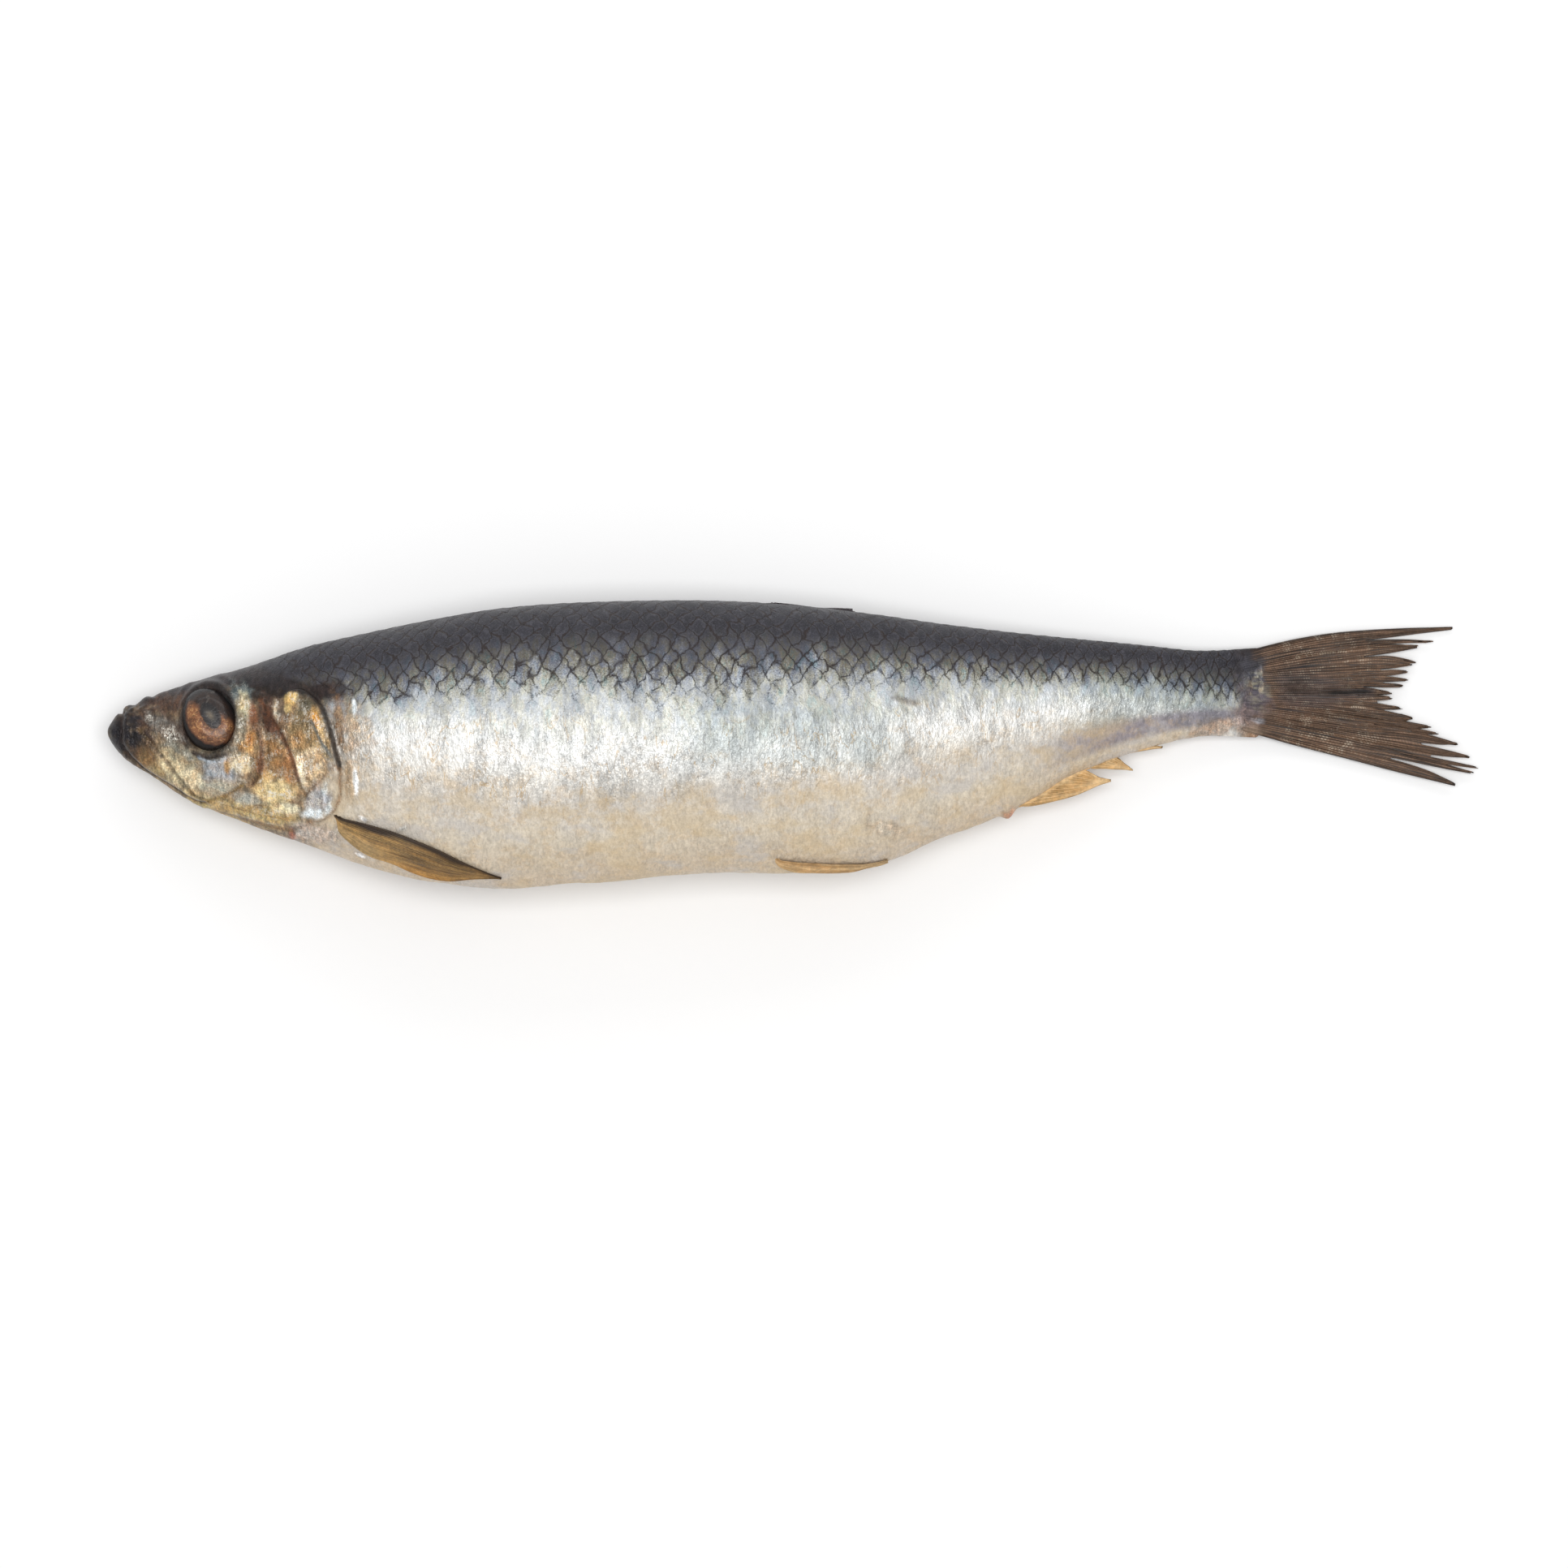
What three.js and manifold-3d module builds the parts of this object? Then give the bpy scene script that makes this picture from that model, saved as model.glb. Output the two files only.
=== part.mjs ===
// A whole salted herring, lying on its right flank with its left flank up.
// X runs from the snout to the tail, Y from the belly to the back, and Z up from the surface it lies on.
// The head, trunk and tail stalk are one solid; each eye and each fin is a solid of its own, seated in the
// body with a small clearance. Lengths are millimetres, angles are radians.
// Fish coordinates start at the snout; the group moves them to the frame, whose origin is under the middle.
import * as THREE from "three";
import { mergeVertices } from "three/addons/utils/BufferGeometryUtils.js";
import Module from "manifold-3d";

const wasm = await Module();
wasm.setup();

// Driving dimensions
const BODY_LENGTH = 263; // snout to the root of the tail fin
const BODY_DEPTH = 65.5; // back to belly
const BODY_THICKNESS = 39; // flank to flank, before it is pressed
const PRESSED = 1; // how far the soft flank is flattened by the fish's own weight
const NOSE_ROUNDING = 5; // length over which the snout rounds off
const STALK_ROUNDING = 2; // the same at the end of the tail stalk
const CLEARANCE = 0.35; // between an eye or a fin and its seat in the body

const EYE_DIAMETER = 14;
const EYE_BULGE = 4; // half the thickness of the flattened eyeball
const EYE_PROUD = 0.5; // how far the eye stands out of the skin
const EYE_FROM_SNOUT = 24.8;
const EYE_ANGLE = 0.36; // from the widest line of the head towards its top
const EYE_SIDEWAYS = 1.2; // how much more the eye looks sideways than the skin around it does

const GILL_SLIT = { start: 37, reach: 15, from: 0.85, to: -1.05, depth: 1.3, gape: 0.7 };
const MOUTH_SLIT = { start: 1.5, reach: 19, from: 0.5, to: -0.6, depth: 0.8, gape: 0.5 };

const TAIL_LENGTH = 47; // from the body's end to the tip of the longer, lower lobe
const TAIL_SPREAD = 34.5; // from lobe to lobe, at the tips
const TAIL_FORK = 26; // how deep the tail is forked
const TAIL_SHORTER = 6; // how much shorter the upper lobe is
const TAIL_DROP = 3.3; // how much further the lower lobe spreads than the upper one
const TAIL_SWELL = 1.5; // how far the outer edge of each lobe swells
const TAIL_ROOT = 7; // how deep the fin is set in the stalk
const TAIL_THICKNESS = 1.2;

const DORSAL_START = 139; // from the snout to the front of the fin
const DORSAL_LENGTH = 39;
const DORSAL_HEIGHT = 1.7; // the folded fin's height above the back
const DORSAL_THICKNESS = 1.6;

const ANAL_START = 205.5;
const ANAL_LENGTH = 33;
const ANAL_HEIGHT = 5.5;
const ANAL_THICKNESS = 1;

// A paired fin lies folded on the flank: where it is rooted and where its tip lies, its widest, its thickness.
const PECTORAL = {
  root: 52, rootAngle: -0.86, length: 38, tipAngle: -1.22, width: 8.5, thickness: 0.9,
};
const PELVIC = {
  root: 151, rootAngle: -1.12, length: 26, tipAngle: -1.2, width: 4.2, thickness: 0.8,
};
const ROOT_DEPTH = 1.6; // how deep a paired fin's root is set under the skin
const ROOT_SHARE = 0.14; // the share of a paired fin's length over which it dives under the skin
const FIN_TIP = 0.6; // the width of a folded fin at its tip

// The body's form. at is a share of its length; back, belly and widest are shares of its depth, from the line
// that halves it; half is a share of half its thickness; spine is the height of its middle, as a share of that.
const FORM = [
  { at: 0.0, back: 0.095, belly: -0.011, half: 0.12, spine: 0.5 },
  { at: 0.036, back: 0.163, belly: -0.108, half: 0.29, spine: 0.54 },
  { at: 0.08, back: 0.22, belly: -0.215, half: 0.47, spine: 0.6 },
  { at: 0.125, back: 0.272, belly: -0.284, half: 0.64, spine: 0.68 },
  { at: 0.171, back: 0.334, belly: -0.345, half: 0.78, spine: 0.77 },
  { at: 0.213, back: 0.373, belly: -0.406, half: 0.87, spine: 0.86 },
  { at: 0.274, back: 0.424, belly: -0.472, half: 0.95, spine: 0.95 },
  { at: 0.342, back: 0.469, belly: -0.5, half: 0.995, spine: 0.995 },
  { at: 0.418, back: 0.49, belly: -0.478, half: 1.0, spine: 1.0 },
  { at: 0.525, back: 0.495, belly: -0.449, half: 0.965, spine: 0.965 },
  { at: 0.608, back: 0.474, belly: -0.444, half: 0.885, spine: 0.885 },
  { at: 0.665, back: 0.447, belly: -0.417, half: 0.8, spine: 0.8 },
  { at: 0.722, back: 0.415, belly: -0.321, half: 0.69, spine: 0.69 },
  { at: 0.779, back: 0.388, belly: -0.232, half: 0.565, spine: 0.57 },
  { at: 0.837, back: 0.365, belly: -0.104, half: 0.44, spine: 0.46 },
  { at: 0.894, back: 0.344, belly: -0.018, half: 0.33, spine: 0.36 },
  { at: 0.943, back: 0.325, belly: 0.026, half: 0.245, spine: 0.28 },
  { at: 1.0, back: 0.336, belly: 0.024, half: 0.115, spine: 0.19 },
];
const WIDEST = 0.46; // where a section is widest, as a share of its height below the back
const KEEL = 0.3; // how much the belly narrows to a keel

// How finely the surfaces are faceted
const ALONG = 44;
const AROUND = 26;

// A smooth curve through one column of the form, as a function of the distance from the snout.
function formCurve(column, size) {
  const xs = FORM.map((row) => row.at * BODY_LENGTH);
  const ys = FORM.map((row) => row[column] * size);
  const slopes = xs.map((_, i) => {
    const before = Math.max(i - 1, 0);
    const after = Math.min(i + 1, xs.length - 1);
    return (ys[after] - ys[before]) / (xs[after] - xs[before]);
  });
  return (x) => {
    let i = 0;
    while (i < xs.length - 2 && x > xs[i + 1]) i += 1;
    const gap = xs[i + 1] - xs[i];
    const t = (x - xs[i]) / gap;
    const t2 = t * t;
    const t3 = t2 * t;
    return (
      (2 * t3 - 3 * t2 + 1) * ys[i] +
      (t3 - 2 * t2 + t) * gap * slopes[i] +
      (3 * t2 - 2 * t3) * ys[i + 1] +
      (t3 - t2) * gap * slopes[i + 1]
    );
  };
}

const back = formCurve("back", BODY_DEPTH);
const belly = formCurve("belly", BODY_DEPTH);
const halfWidth = formCurve("half", BODY_THICKNESS / 2);
const spine = formCurve("spine", BODY_THICKNESS / 2);

// How much of its full section the body has near its rounded ends.
function rounding(x) {
  const nose = 1 - THREE.MathUtils.clamp(x / NOSE_ROUNDING, 0, 1);
  const stalk = 1 - THREE.MathUtils.clamp((BODY_LENGTH - x) / STALK_ROUNDING, 0, 1);
  return Math.sqrt(1 - nose * nose) * Math.sqrt(1 - stalk * stalk);
}

// A point of the skin. The angle is 0 at the widest line, a quarter turn up at the back and down at the belly.
// side is 1 on the left flank, which is up, and -1 on the right flank, which the surface presses flat.
function skin(x, angle, side) {
  const full = rounding(x);
  const middle = THREE.MathUtils.lerp(back(x), belly(x), 0.5);
  const top = THREE.MathUtils.lerp(middle, back(x), full);
  const bottom = THREE.MathUtils.lerp(middle, belly(x), full);
  const widest = THREE.MathUtils.lerp(top, bottom, WIDEST);
  const rise = Math.sin(angle);
  const reach = Math.max(Math.cos(angle), 0) ** (1 + KEEL * Math.max(-rise, 0));
  return new THREE.Vector3(
    x,
    rise > 0 ? widest + (top - widest) * rise : widest + (widest - bottom) * rise,
    Math.max(spine(x) + side * halfWidth(x) * full * reach - PRESSED, 0),
  );
}

// The direction straight out of the skin.
function outward(x, angle, side) {
  const step = 0.01;
  const alongSkin = skin(x + step, angle, side).sub(skin(x - step, angle, side));
  const aroundSkin = skin(x, angle + step, side).sub(skin(x, angle - step, side));
  return alongSkin.cross(aroundSkin).multiplyScalar(side).normalize();
}

// A closed three.js geometry as a manifold-3d solid, and back again.
function solidOf(geometry) {
  const bare = geometry.clone();
  bare.deleteAttribute("normal");
  bare.deleteAttribute("uv");
  const merged = mergeVertices(bare, 1e-4);
  return new wasm.Manifold(
    new wasm.Mesh({
      numProp: 3,
      vertProperties: new Float32Array(merged.attributes.position.array),
      triVerts: new Uint32Array(merged.index.array),
    }),
  );
}

function geometryOf(solid) {
  const { vertProperties, triVerts, numProp } = solid.getMesh();
  const points = [];
  for (let i = 0; i < vertProperties.length; i += numProp) {
    points.push(vertProperties[i], vertProperties[i + 1], vertProperties[i + 2]);
  }
  const geometry = new THREE.BufferGeometry();
  geometry.setAttribute("position", new THREE.Float32BufferAttribute(points, 3));
  geometry.setIndex(Array.from(triVerts));
  geometry.computeVertexNormals();
  return geometry;
}

// The head, trunk and tail stalk: a sphere drawn out along the skin, its poles at the snout and the stalk.
function bodyGeometry() {
  const geometry = new THREE.SphereGeometry(1, AROUND, ALONG);
  const position = geometry.attributes.position;
  for (let i = 0; i < position.count; i += 1) {
    const row = Math.floor(i / (AROUND + 1));
    const turn = ((i % (AROUND + 1)) / AROUND) * 2 * Math.PI;
    const x = (BODY_LENGTH * (1 - Math.cos((Math.PI * row) / ALONG))) / 2;
    const side = turn < Math.PI ? -1 : 1;
    const angle = turn < Math.PI ? Math.PI / 2 - turn : turn - 1.5 * Math.PI;
    position.setXYZ(i, ...skin(x, angle, side));
  }
  return geometry;
}

// A thin blade. place(s, t) gives the point at the share s of its length and t of its width, and the direction
// it faces; thickness(s) gives how thick it is there.
function bladeGeometry(place, thickness, lengthSteps, widthSteps) {
  const geometry = new THREE.BoxGeometry(1, 1, 1, lengthSteps, widthSteps, 1);
  const position = geometry.attributes.position;
  for (let i = 0; i < position.count; i += 1) {
    const s = position.getX(i) + 0.5;
    const t = position.getY(i) + 0.5;
    const { point, normal } = place(s, t);
    point.addScaledVector(normal, position.getZ(i) * thickness(s));
    position.setXYZ(i, ...point);
  }
  return geometry;
}

// A paired fin folded on the flank. grow makes it larger all over, for cutting its seat.
function pairedFin(fin, side, grow) {
  const endShare = grow / fin.length;
  const lift = (s) => {
    const dive = THREE.MathUtils.smoothstep(s, 0, ROOT_SHARE);
    return THREE.MathUtils.lerp(-ROOT_DEPTH, fin.thickness / 2, dive);
  };
  const place = (share, t) => {
    const s = THREE.MathUtils.lerp(-endShare, 1 + endShare, share);
    const bend = THREE.MathUtils.lerp(fin.rootAngle, fin.tipAngle, s);
    const x = fin.root + fin.length * s;
    const lens = Math.sin(Math.PI * THREE.MathUtils.clamp(0.2 + 0.8 * s, 0, 1));
    const width = FIN_TIP + (fin.width - FIN_TIP) * Math.max(lens, 0) + 2 * grow;
    const reach = skin(x, bend + 0.01, side).distanceTo(skin(x, bend - 0.01, side)) / 0.02;
    const angle = bend + ((t - 0.5) * width) / reach;
    const normal = outward(x, angle, side);
    return { point: skin(x, angle, side).addScaledVector(normal, lift(s)), normal };
  };
  const mirrored = (share, t) => place(share, side > 0 ? t : 1 - t);
  return bladeGeometry(mirrored, () => fin.thickness + 2 * grow, 14, 3);
}

// A fin in the fish's middle plane. low and high give its lower and upper edge at the share s of its length.
function middleFin(start, length, low, high, thickness, grow) {
  const place = (share, t) => {
    const x = THREE.MathUtils.lerp(start - grow, start + length + grow, share);
    const s = THREE.MathUtils.clamp((x - start) / length, 0, 1);
    const y = THREE.MathUtils.lerp(low(s, x) - grow, high(s, x) + grow, t);
    return {
      point: new THREE.Vector3(x, y, spine(x) - PRESSED),
      normal: new THREE.Vector3(0, 0, 1),
    };
  };
  return bladeGeometry(place, () => thickness + 2 * grow, 14, 1);
}

// The folded dorsal fin: rooted in the back over its front half, then free to its tip.
function dorsalFin(grow) {
  const rooted = 2; // how deep its front half is set in the back
  const low = (s, x) => back(x) - rooted * (1 - THREE.MathUtils.smoothstep(s, 0.5, 0.75));
  const high = (s, x) => back(x) + DORSAL_HEIGHT * Math.sin(Math.PI * (0.12 + 0.72 * s));
  return middleFin(DORSAL_START, DORSAL_LENGTH, low, high, DORSAL_THICKNESS, grow);
}

// The anal fin: rooted all along the belly's edge behind the vent, deepest at its front.
function analFin(grow) {
  const rooted = 2;
  const low = (s, x) => belly(x) - ANAL_HEIGHT * Math.sin(Math.PI * (0.1 + 0.86 * s)) ** 0.8;
  const high = (s, x) => belly(x) + rooted;
  return middleFin(ANAL_START, ANAL_LENGTH, low, high, ANAL_THICKNESS, grow);
}

// The tail fin: a forked fan whose root is set in the stalk and whose lobes lie down on the surface.
function tailFin(grow) {
  const rootX = BODY_LENGTH - TAIL_ROOT;
  const rootHigh = back(rootX) - 1.5;
  const rootLow = belly(rootX) + 1.5;
  const middle = (rootHigh + rootLow) / 2 - TAIL_DROP;
  const place = (share, t) => {
    const s = THREE.MathUtils.lerp(-grow / TAIL_LENGTH, 1, share);
    const out = 2 * t - 1;
    const lobe = Math.abs(out);
    const tipX = BODY_LENGTH + TAIL_LENGTH - TAIL_FORK * (1 - lobe) - TAIL_SHORTER * Math.max(out, 0) * lobe;
    const x = THREE.MathUtils.lerp(rootX, tipX, s);
    const rootY = THREE.MathUtils.lerp(rootLow - grow, rootHigh + grow, t);
    const tipY = middle + (out * TAIL_SPREAD) / 2;
    const y = THREE.MathUtils.lerp(rootY, tipY, s) + TAIL_SWELL * out * Math.sin(Math.PI * s);
    const lying = THREE.MathUtils.smoothstep(x, BODY_LENGTH, BODY_LENGTH + 15);
    const z = THREE.MathUtils.lerp(spine(rootX) - PRESSED, TAIL_THICKNESS / 2, lying);
    return { point: new THREE.Vector3(x, y, z), normal: new THREE.Vector3(0, 0, 1) };
  };
  const taper = (s) => TAIL_THICKNESS * (1 - 0.4 * s) + 2 * grow;
  return bladeGeometry(place, taper, 10, 16);
}

// Where an eye's centre lies and which way it looks.
function eyeSeat(side) {
  const normal = outward(EYE_FROM_SNOUT, EYE_ANGLE, side);
  normal.z += side * EYE_SIDEWAYS;
  normal.normalize();
  const centre = skin(EYE_FROM_SNOUT, EYE_ANGLE, side).addScaledVector(normal, EYE_PROUD - EYE_BULGE);
  const turn = new THREE.Quaternion().setFromUnitVectors(new THREE.Vector3(0, 1, 0), normal);
  return new THREE.Matrix4().compose(centre, turn, new THREE.Vector3(1, 1, 1));
}

// The flattened eyeball, turned about the way it looks.
function eyeball() {
  return new THREE.SphereGeometry(1, 16, 8).scale(EYE_DIAMETER / 2, EYE_BULGE, EYE_DIAMETER / 2);
}

// The eye's socket: round behind the eye, and drawn straight out through the skin in front of it.
function socket() {
  const radius = EYE_DIAMETER / 2 + CLEARANCE;
  const geometry = new THREE.SphereGeometry(1, 16, 8).scale(radius, EYE_BULGE + CLEARANCE, radius);
  const position = geometry.attributes.position;
  for (let i = 0; i < position.count; i += 1) {
    const y = position.getY(i);
    position.setY(i, y > 0 ? 5 * y : y);
  }
  return geometry;
}

// A slit in the skin along the path of x and angle at the share s of its length. It is cut depth deep.
function slit(path, side, depth, gape) {
  const point = (s) => {
    const { x, angle } = path(s);
    return skin(x, angle, side);
  };
  const step = 0.01; // the share over which the path's direction is measured
  const place = (s, t) => {
    const { x, angle } = path(s);
    const normal = outward(x, angle, side);
    const along = point(s + step).sub(point(s - step)).normalize();
    return { point: point(s).addScaledVector(normal, depth * (2 * t - 1)), normal: along.cross(normal) };
  };
  const taper = (s) => gape * (0.3 + 0.7 * Math.sin(Math.PI * s));
  return bladeGeometry(place, taper, 12, 1);
}

// The slit behind the gill cover: an arc, bulging towards the tail.
function gillSlit(side) {
  const path = (s) => ({
    x: GILL_SLIT.start + GILL_SLIT.reach * Math.max(Math.sin(Math.PI * s), 0) ** 0.7,
    angle: THREE.MathUtils.lerp(GILL_SLIT.from, GILL_SLIT.to, s),
  });
  return slit(path, side, GILL_SLIT.depth, GILL_SLIT.gape);
}

// The corner of the mouth: from the front of the snout down and back along the upper jaw.
function mouthSlit(side) {
  const path = (s) => ({
    x: MOUTH_SLIT.start + MOUTH_SLIT.reach * s,
    angle: THREE.MathUtils.lerp(MOUTH_SLIT.from, MOUTH_SLIT.to, Math.max(s, 0) ** 0.6),
  });
  return slit(path, side, MOUTH_SLIT.depth, MOUTH_SLIT.gape);
}

const FINS = [
  ["tail_fin", tailFin],
  ["dorsal_fin", dorsalFin],
  ["anal_fin", analFin],
  ["left_pectoral_fin", (grow) => pairedFin(PECTORAL, 1, grow)],
  ["right_pectoral_fin", (grow) => pairedFin(PECTORAL, -1, grow)],
  ["left_pelvic_fin", (grow) => pairedFin(PELVIC, 1, grow)],
  ["right_pelvic_fin", (grow) => pairedFin(PELVIC, -1, grow)],
];
const EYES = [
  ["left_eye", 1],
  ["right_eye", -1],
];

const skinMaterial = new THREE.MeshStandardMaterial({ color: 0xb9b6b0, roughness: 0.35, metalness: 0.35 });
const darkFinMaterial = new THREE.MeshStandardMaterial({ color: 0x4a3a2c, roughness: 0.55, metalness: 0 });
const paleFinMaterial = new THREE.MeshStandardMaterial({ color: 0xc79a55, roughness: 0.5, metalness: 0 });
const eyeMaterial = new THREE.MeshStandardMaterial({ color: 0x8a5a35, roughness: 0.2, metalness: 0.1 });
const finMaterial = (name) =>
  name === "tail_fin" || name === "dorsal_fin" ? darkFinMaterial : paleFinMaterial;

let body = solidOf(bodyGeometry());
for (const [, fin] of FINS) body = body.subtract(solidOf(fin(CLEARANCE)));
for (const [, side] of EYES) {
  body = body.subtract(solidOf(socket().applyMatrix4(eyeSeat(side))));
  body = body.subtract(solidOf(gillSlit(side)));
  body = body.subtract(solidOf(mouthSlit(side)));
}

const herring = new THREE.Group();
function add(name, geometry, material) {
  const mesh = new THREE.Mesh(geometry, material);
  mesh.name = name;
  herring.add(mesh);
  return mesh;
}

add("body", geometryOf(body), skinMaterial);
for (const [name, fin] of FINS) add(name, fin(0), finMaterial(name));
for (const [name, side] of EYES) {
  const eye = add(name, eyeball(), eyeMaterial);
  eyeSeat(side).decompose(eye.position, eye.quaternion, eye.scale);
}

// The frame's origin is on the surface, under the middle of the fish.
const bounds = new THREE.Box3().setFromObject(herring, true);
const middle = bounds.getCenter(new THREE.Vector3());
herring.position.set(-middle.x, -middle.y, -bounds.min.z);

export default herring;
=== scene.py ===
import math

import bpy
import numpy as np
from bpy.props import FloatProperty, FloatVectorProperty, PointerProperty
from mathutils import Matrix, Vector


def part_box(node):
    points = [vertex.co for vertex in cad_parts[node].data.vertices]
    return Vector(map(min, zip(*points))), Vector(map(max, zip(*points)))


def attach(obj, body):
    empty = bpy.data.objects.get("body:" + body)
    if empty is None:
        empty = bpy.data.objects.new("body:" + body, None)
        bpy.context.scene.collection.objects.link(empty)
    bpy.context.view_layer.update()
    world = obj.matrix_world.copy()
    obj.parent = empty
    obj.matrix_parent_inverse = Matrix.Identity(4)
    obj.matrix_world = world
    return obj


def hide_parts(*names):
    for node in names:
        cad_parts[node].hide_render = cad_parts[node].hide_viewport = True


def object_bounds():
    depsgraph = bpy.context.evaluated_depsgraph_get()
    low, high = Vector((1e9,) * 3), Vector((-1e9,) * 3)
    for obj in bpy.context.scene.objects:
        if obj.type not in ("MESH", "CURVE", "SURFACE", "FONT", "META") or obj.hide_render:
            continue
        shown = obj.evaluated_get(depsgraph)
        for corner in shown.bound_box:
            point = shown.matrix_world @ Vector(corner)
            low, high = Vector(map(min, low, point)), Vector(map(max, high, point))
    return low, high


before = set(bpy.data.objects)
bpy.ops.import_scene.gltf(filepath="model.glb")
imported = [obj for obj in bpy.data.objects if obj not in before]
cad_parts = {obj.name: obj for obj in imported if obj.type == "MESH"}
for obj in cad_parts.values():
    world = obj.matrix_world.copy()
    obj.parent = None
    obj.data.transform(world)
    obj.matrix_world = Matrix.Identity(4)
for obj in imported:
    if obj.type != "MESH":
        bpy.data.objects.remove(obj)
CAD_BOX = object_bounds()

bl_info = {
    "name": "Salted herring",
    "version": (1, 0, 0),
    "blender": (4, 5, 0),
    "location": "3D View > Sidebar > Herring",
    "description": "A whole salted herring with its skin, scales, eyes and fins, on a pale floor",
    "category": "Add Mesh",
}

# The fish lies on its right flank. Lengths in this file are millimetres unless a name says metres; x runs
# from the snout to the tail, y from the belly to the back, z up out of the left flank.
MM = 0.001
BODY_BOX = np.array(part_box("body")) / MM
SNOUT = BODY_BOX[0, 0]
BODY_LENGTH = 263.0
BODY_DEPTH = 65.5
BODY_THICKNESS = 39.0
PRESSED = 1.0
NOSE_ROUNDING = 5.0
STALK_ROUNDING = 2.0
WIDEST = 0.46
KEEL = 0.3

# at is a share of the length; back and belly are shares of the depth; half and spine of half the thickness.
FORM = np.array([
    (0.0, 0.095, -0.011, 0.12, 0.5),
    (0.036, 0.163, -0.108, 0.29, 0.54),
    (0.08, 0.22, -0.215, 0.47, 0.6),
    (0.125, 0.272, -0.284, 0.64, 0.68),
    (0.171, 0.334, -0.345, 0.78, 0.77),
    (0.213, 0.373, -0.406, 0.87, 0.86),
    (0.274, 0.424, -0.472, 0.95, 0.95),
    (0.342, 0.469, -0.5, 0.995, 0.995),
    (0.418, 0.49, -0.478, 1.0, 1.0),
    (0.525, 0.495, -0.449, 0.965, 0.965),
    (0.608, 0.474, -0.444, 0.885, 0.885),
    (0.665, 0.447, -0.417, 0.8, 0.8),
    (0.722, 0.415, -0.321, 0.69, 0.69),
    (0.779, 0.388, -0.232, 0.565, 0.57),
    (0.837, 0.365, -0.104, 0.44, 0.46),
    (0.894, 0.344, -0.018, 0.33, 0.36),
    (0.943, 0.325, 0.026, 0.245, 0.28),
    (1.0, 0.336, 0.024, 0.115, 0.19),
])


def smooth_curve(xs, ys):
    """A smooth curve through the points, with slopes taken from each point's neighbours."""
    xs, ys = np.asarray(xs, float), np.asarray(ys, float)
    before = np.maximum(np.arange(len(xs)) - 1, 0)
    after = np.minimum(np.arange(len(xs)) + 1, len(xs) - 1)
    slopes = (ys[after] - ys[before]) / (xs[after] - xs[before])

    def value(x):
        i = np.clip(np.searchsorted(xs, x, side="right") - 1, 0, len(xs) - 2)
        gap = xs[i + 1] - xs[i]
        t = (x - xs[i]) / gap
        t2, t3 = t * t, t * t * t
        near = (2 * t3 - 3 * t2 + 1) * ys[i] + (t3 - 2 * t2 + t) * gap * slopes[i]
        return near + (3 * t2 - 2 * t3) * ys[i + 1] + (t3 - t2) * gap * slopes[i + 1]

    return value


# A scale's rear edge: how far it reaches past the next column's start, and how pointed it is.
SCALE_REACH = 0.46
SCALE_POINT = 1.5

FORM_AT = SNOUT + FORM[:, 0] * BODY_LENGTH
DEPTH_SHIFT = BODY_BOX[:, 1].mean() - (FORM[:, 1].max() + FORM[:, 2].min()) / 2 * BODY_DEPTH
back = smooth_curve(FORM_AT, FORM[:, 1] * BODY_DEPTH + DEPTH_SHIFT)
belly = smooth_curve(FORM_AT, FORM[:, 2] * BODY_DEPTH + DEPTH_SHIFT)
half_width = smooth_curve(FORM_AT, FORM[:, 3] * BODY_THICKNESS / 2)
spine = smooth_curve(FORM_AT, FORM[:, 4] * BODY_THICKNESS / 2)


def smoothstep(low, high, value):
    t = np.clip((value - low) / (high - low), 0, 1)
    return t * t * (3 - 2 * t)


def lerp(a, b, t):
    return a + (b - a) * t


def bell(distance, width):
    return np.exp(-((distance / width) ** 2))


def rounding(x):
    """How much of its full section the body has near its rounded ends."""
    nose = 1 - np.clip((x - SNOUT) / NOSE_ROUNDING, 0, 1)
    stalk = 1 - np.clip((SNOUT + BODY_LENGTH - x) / STALK_ROUNDING, 0, 1)
    return np.sqrt(1 - nose * nose) * np.sqrt(1 - stalk * stalk)


def skin(x, angle, side):
    """Points of the bare skin. The angle is a quarter turn at the back, 0 at the widest line and minus a
    quarter turn at the belly; side is 1 on the left flank, which is up, and -1 on the right flank."""
    x, angle, side = np.broadcast_arrays(np.asarray(x, float), angle, side)
    full = rounding(x)
    middle = (back(x) + belly(x)) / 2
    top, bottom = lerp(middle, back(x), full), lerp(middle, belly(x), full)
    widest = lerp(top, bottom, WIDEST)
    rise = np.sin(angle)
    reach = np.maximum(np.cos(angle), 0) ** (1 + KEEL * np.maximum(-rise, 0))
    y = np.where(rise > 0, widest + (top - widest) * rise, widest + (widest - bottom) * rise)
    z = spine(x) + side * half_width(x) * full * reach - PRESSED
    return np.stack([x, y, np.maximum(z, 0)], -1)


def outward(x, angle, side, step=0.01):
    """Unit vectors straight out of the bare skin."""
    along = skin(x + step, angle, side) - skin(x - step, angle, side)
    around = skin(x, angle + step, side) - skin(x, angle - step, side)
    normal = np.cross(along, around) * np.asarray(side)[..., None]
    return normal / np.maximum(np.linalg.norm(normal, axis=-1, keepdims=True), 1e-9)


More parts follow.
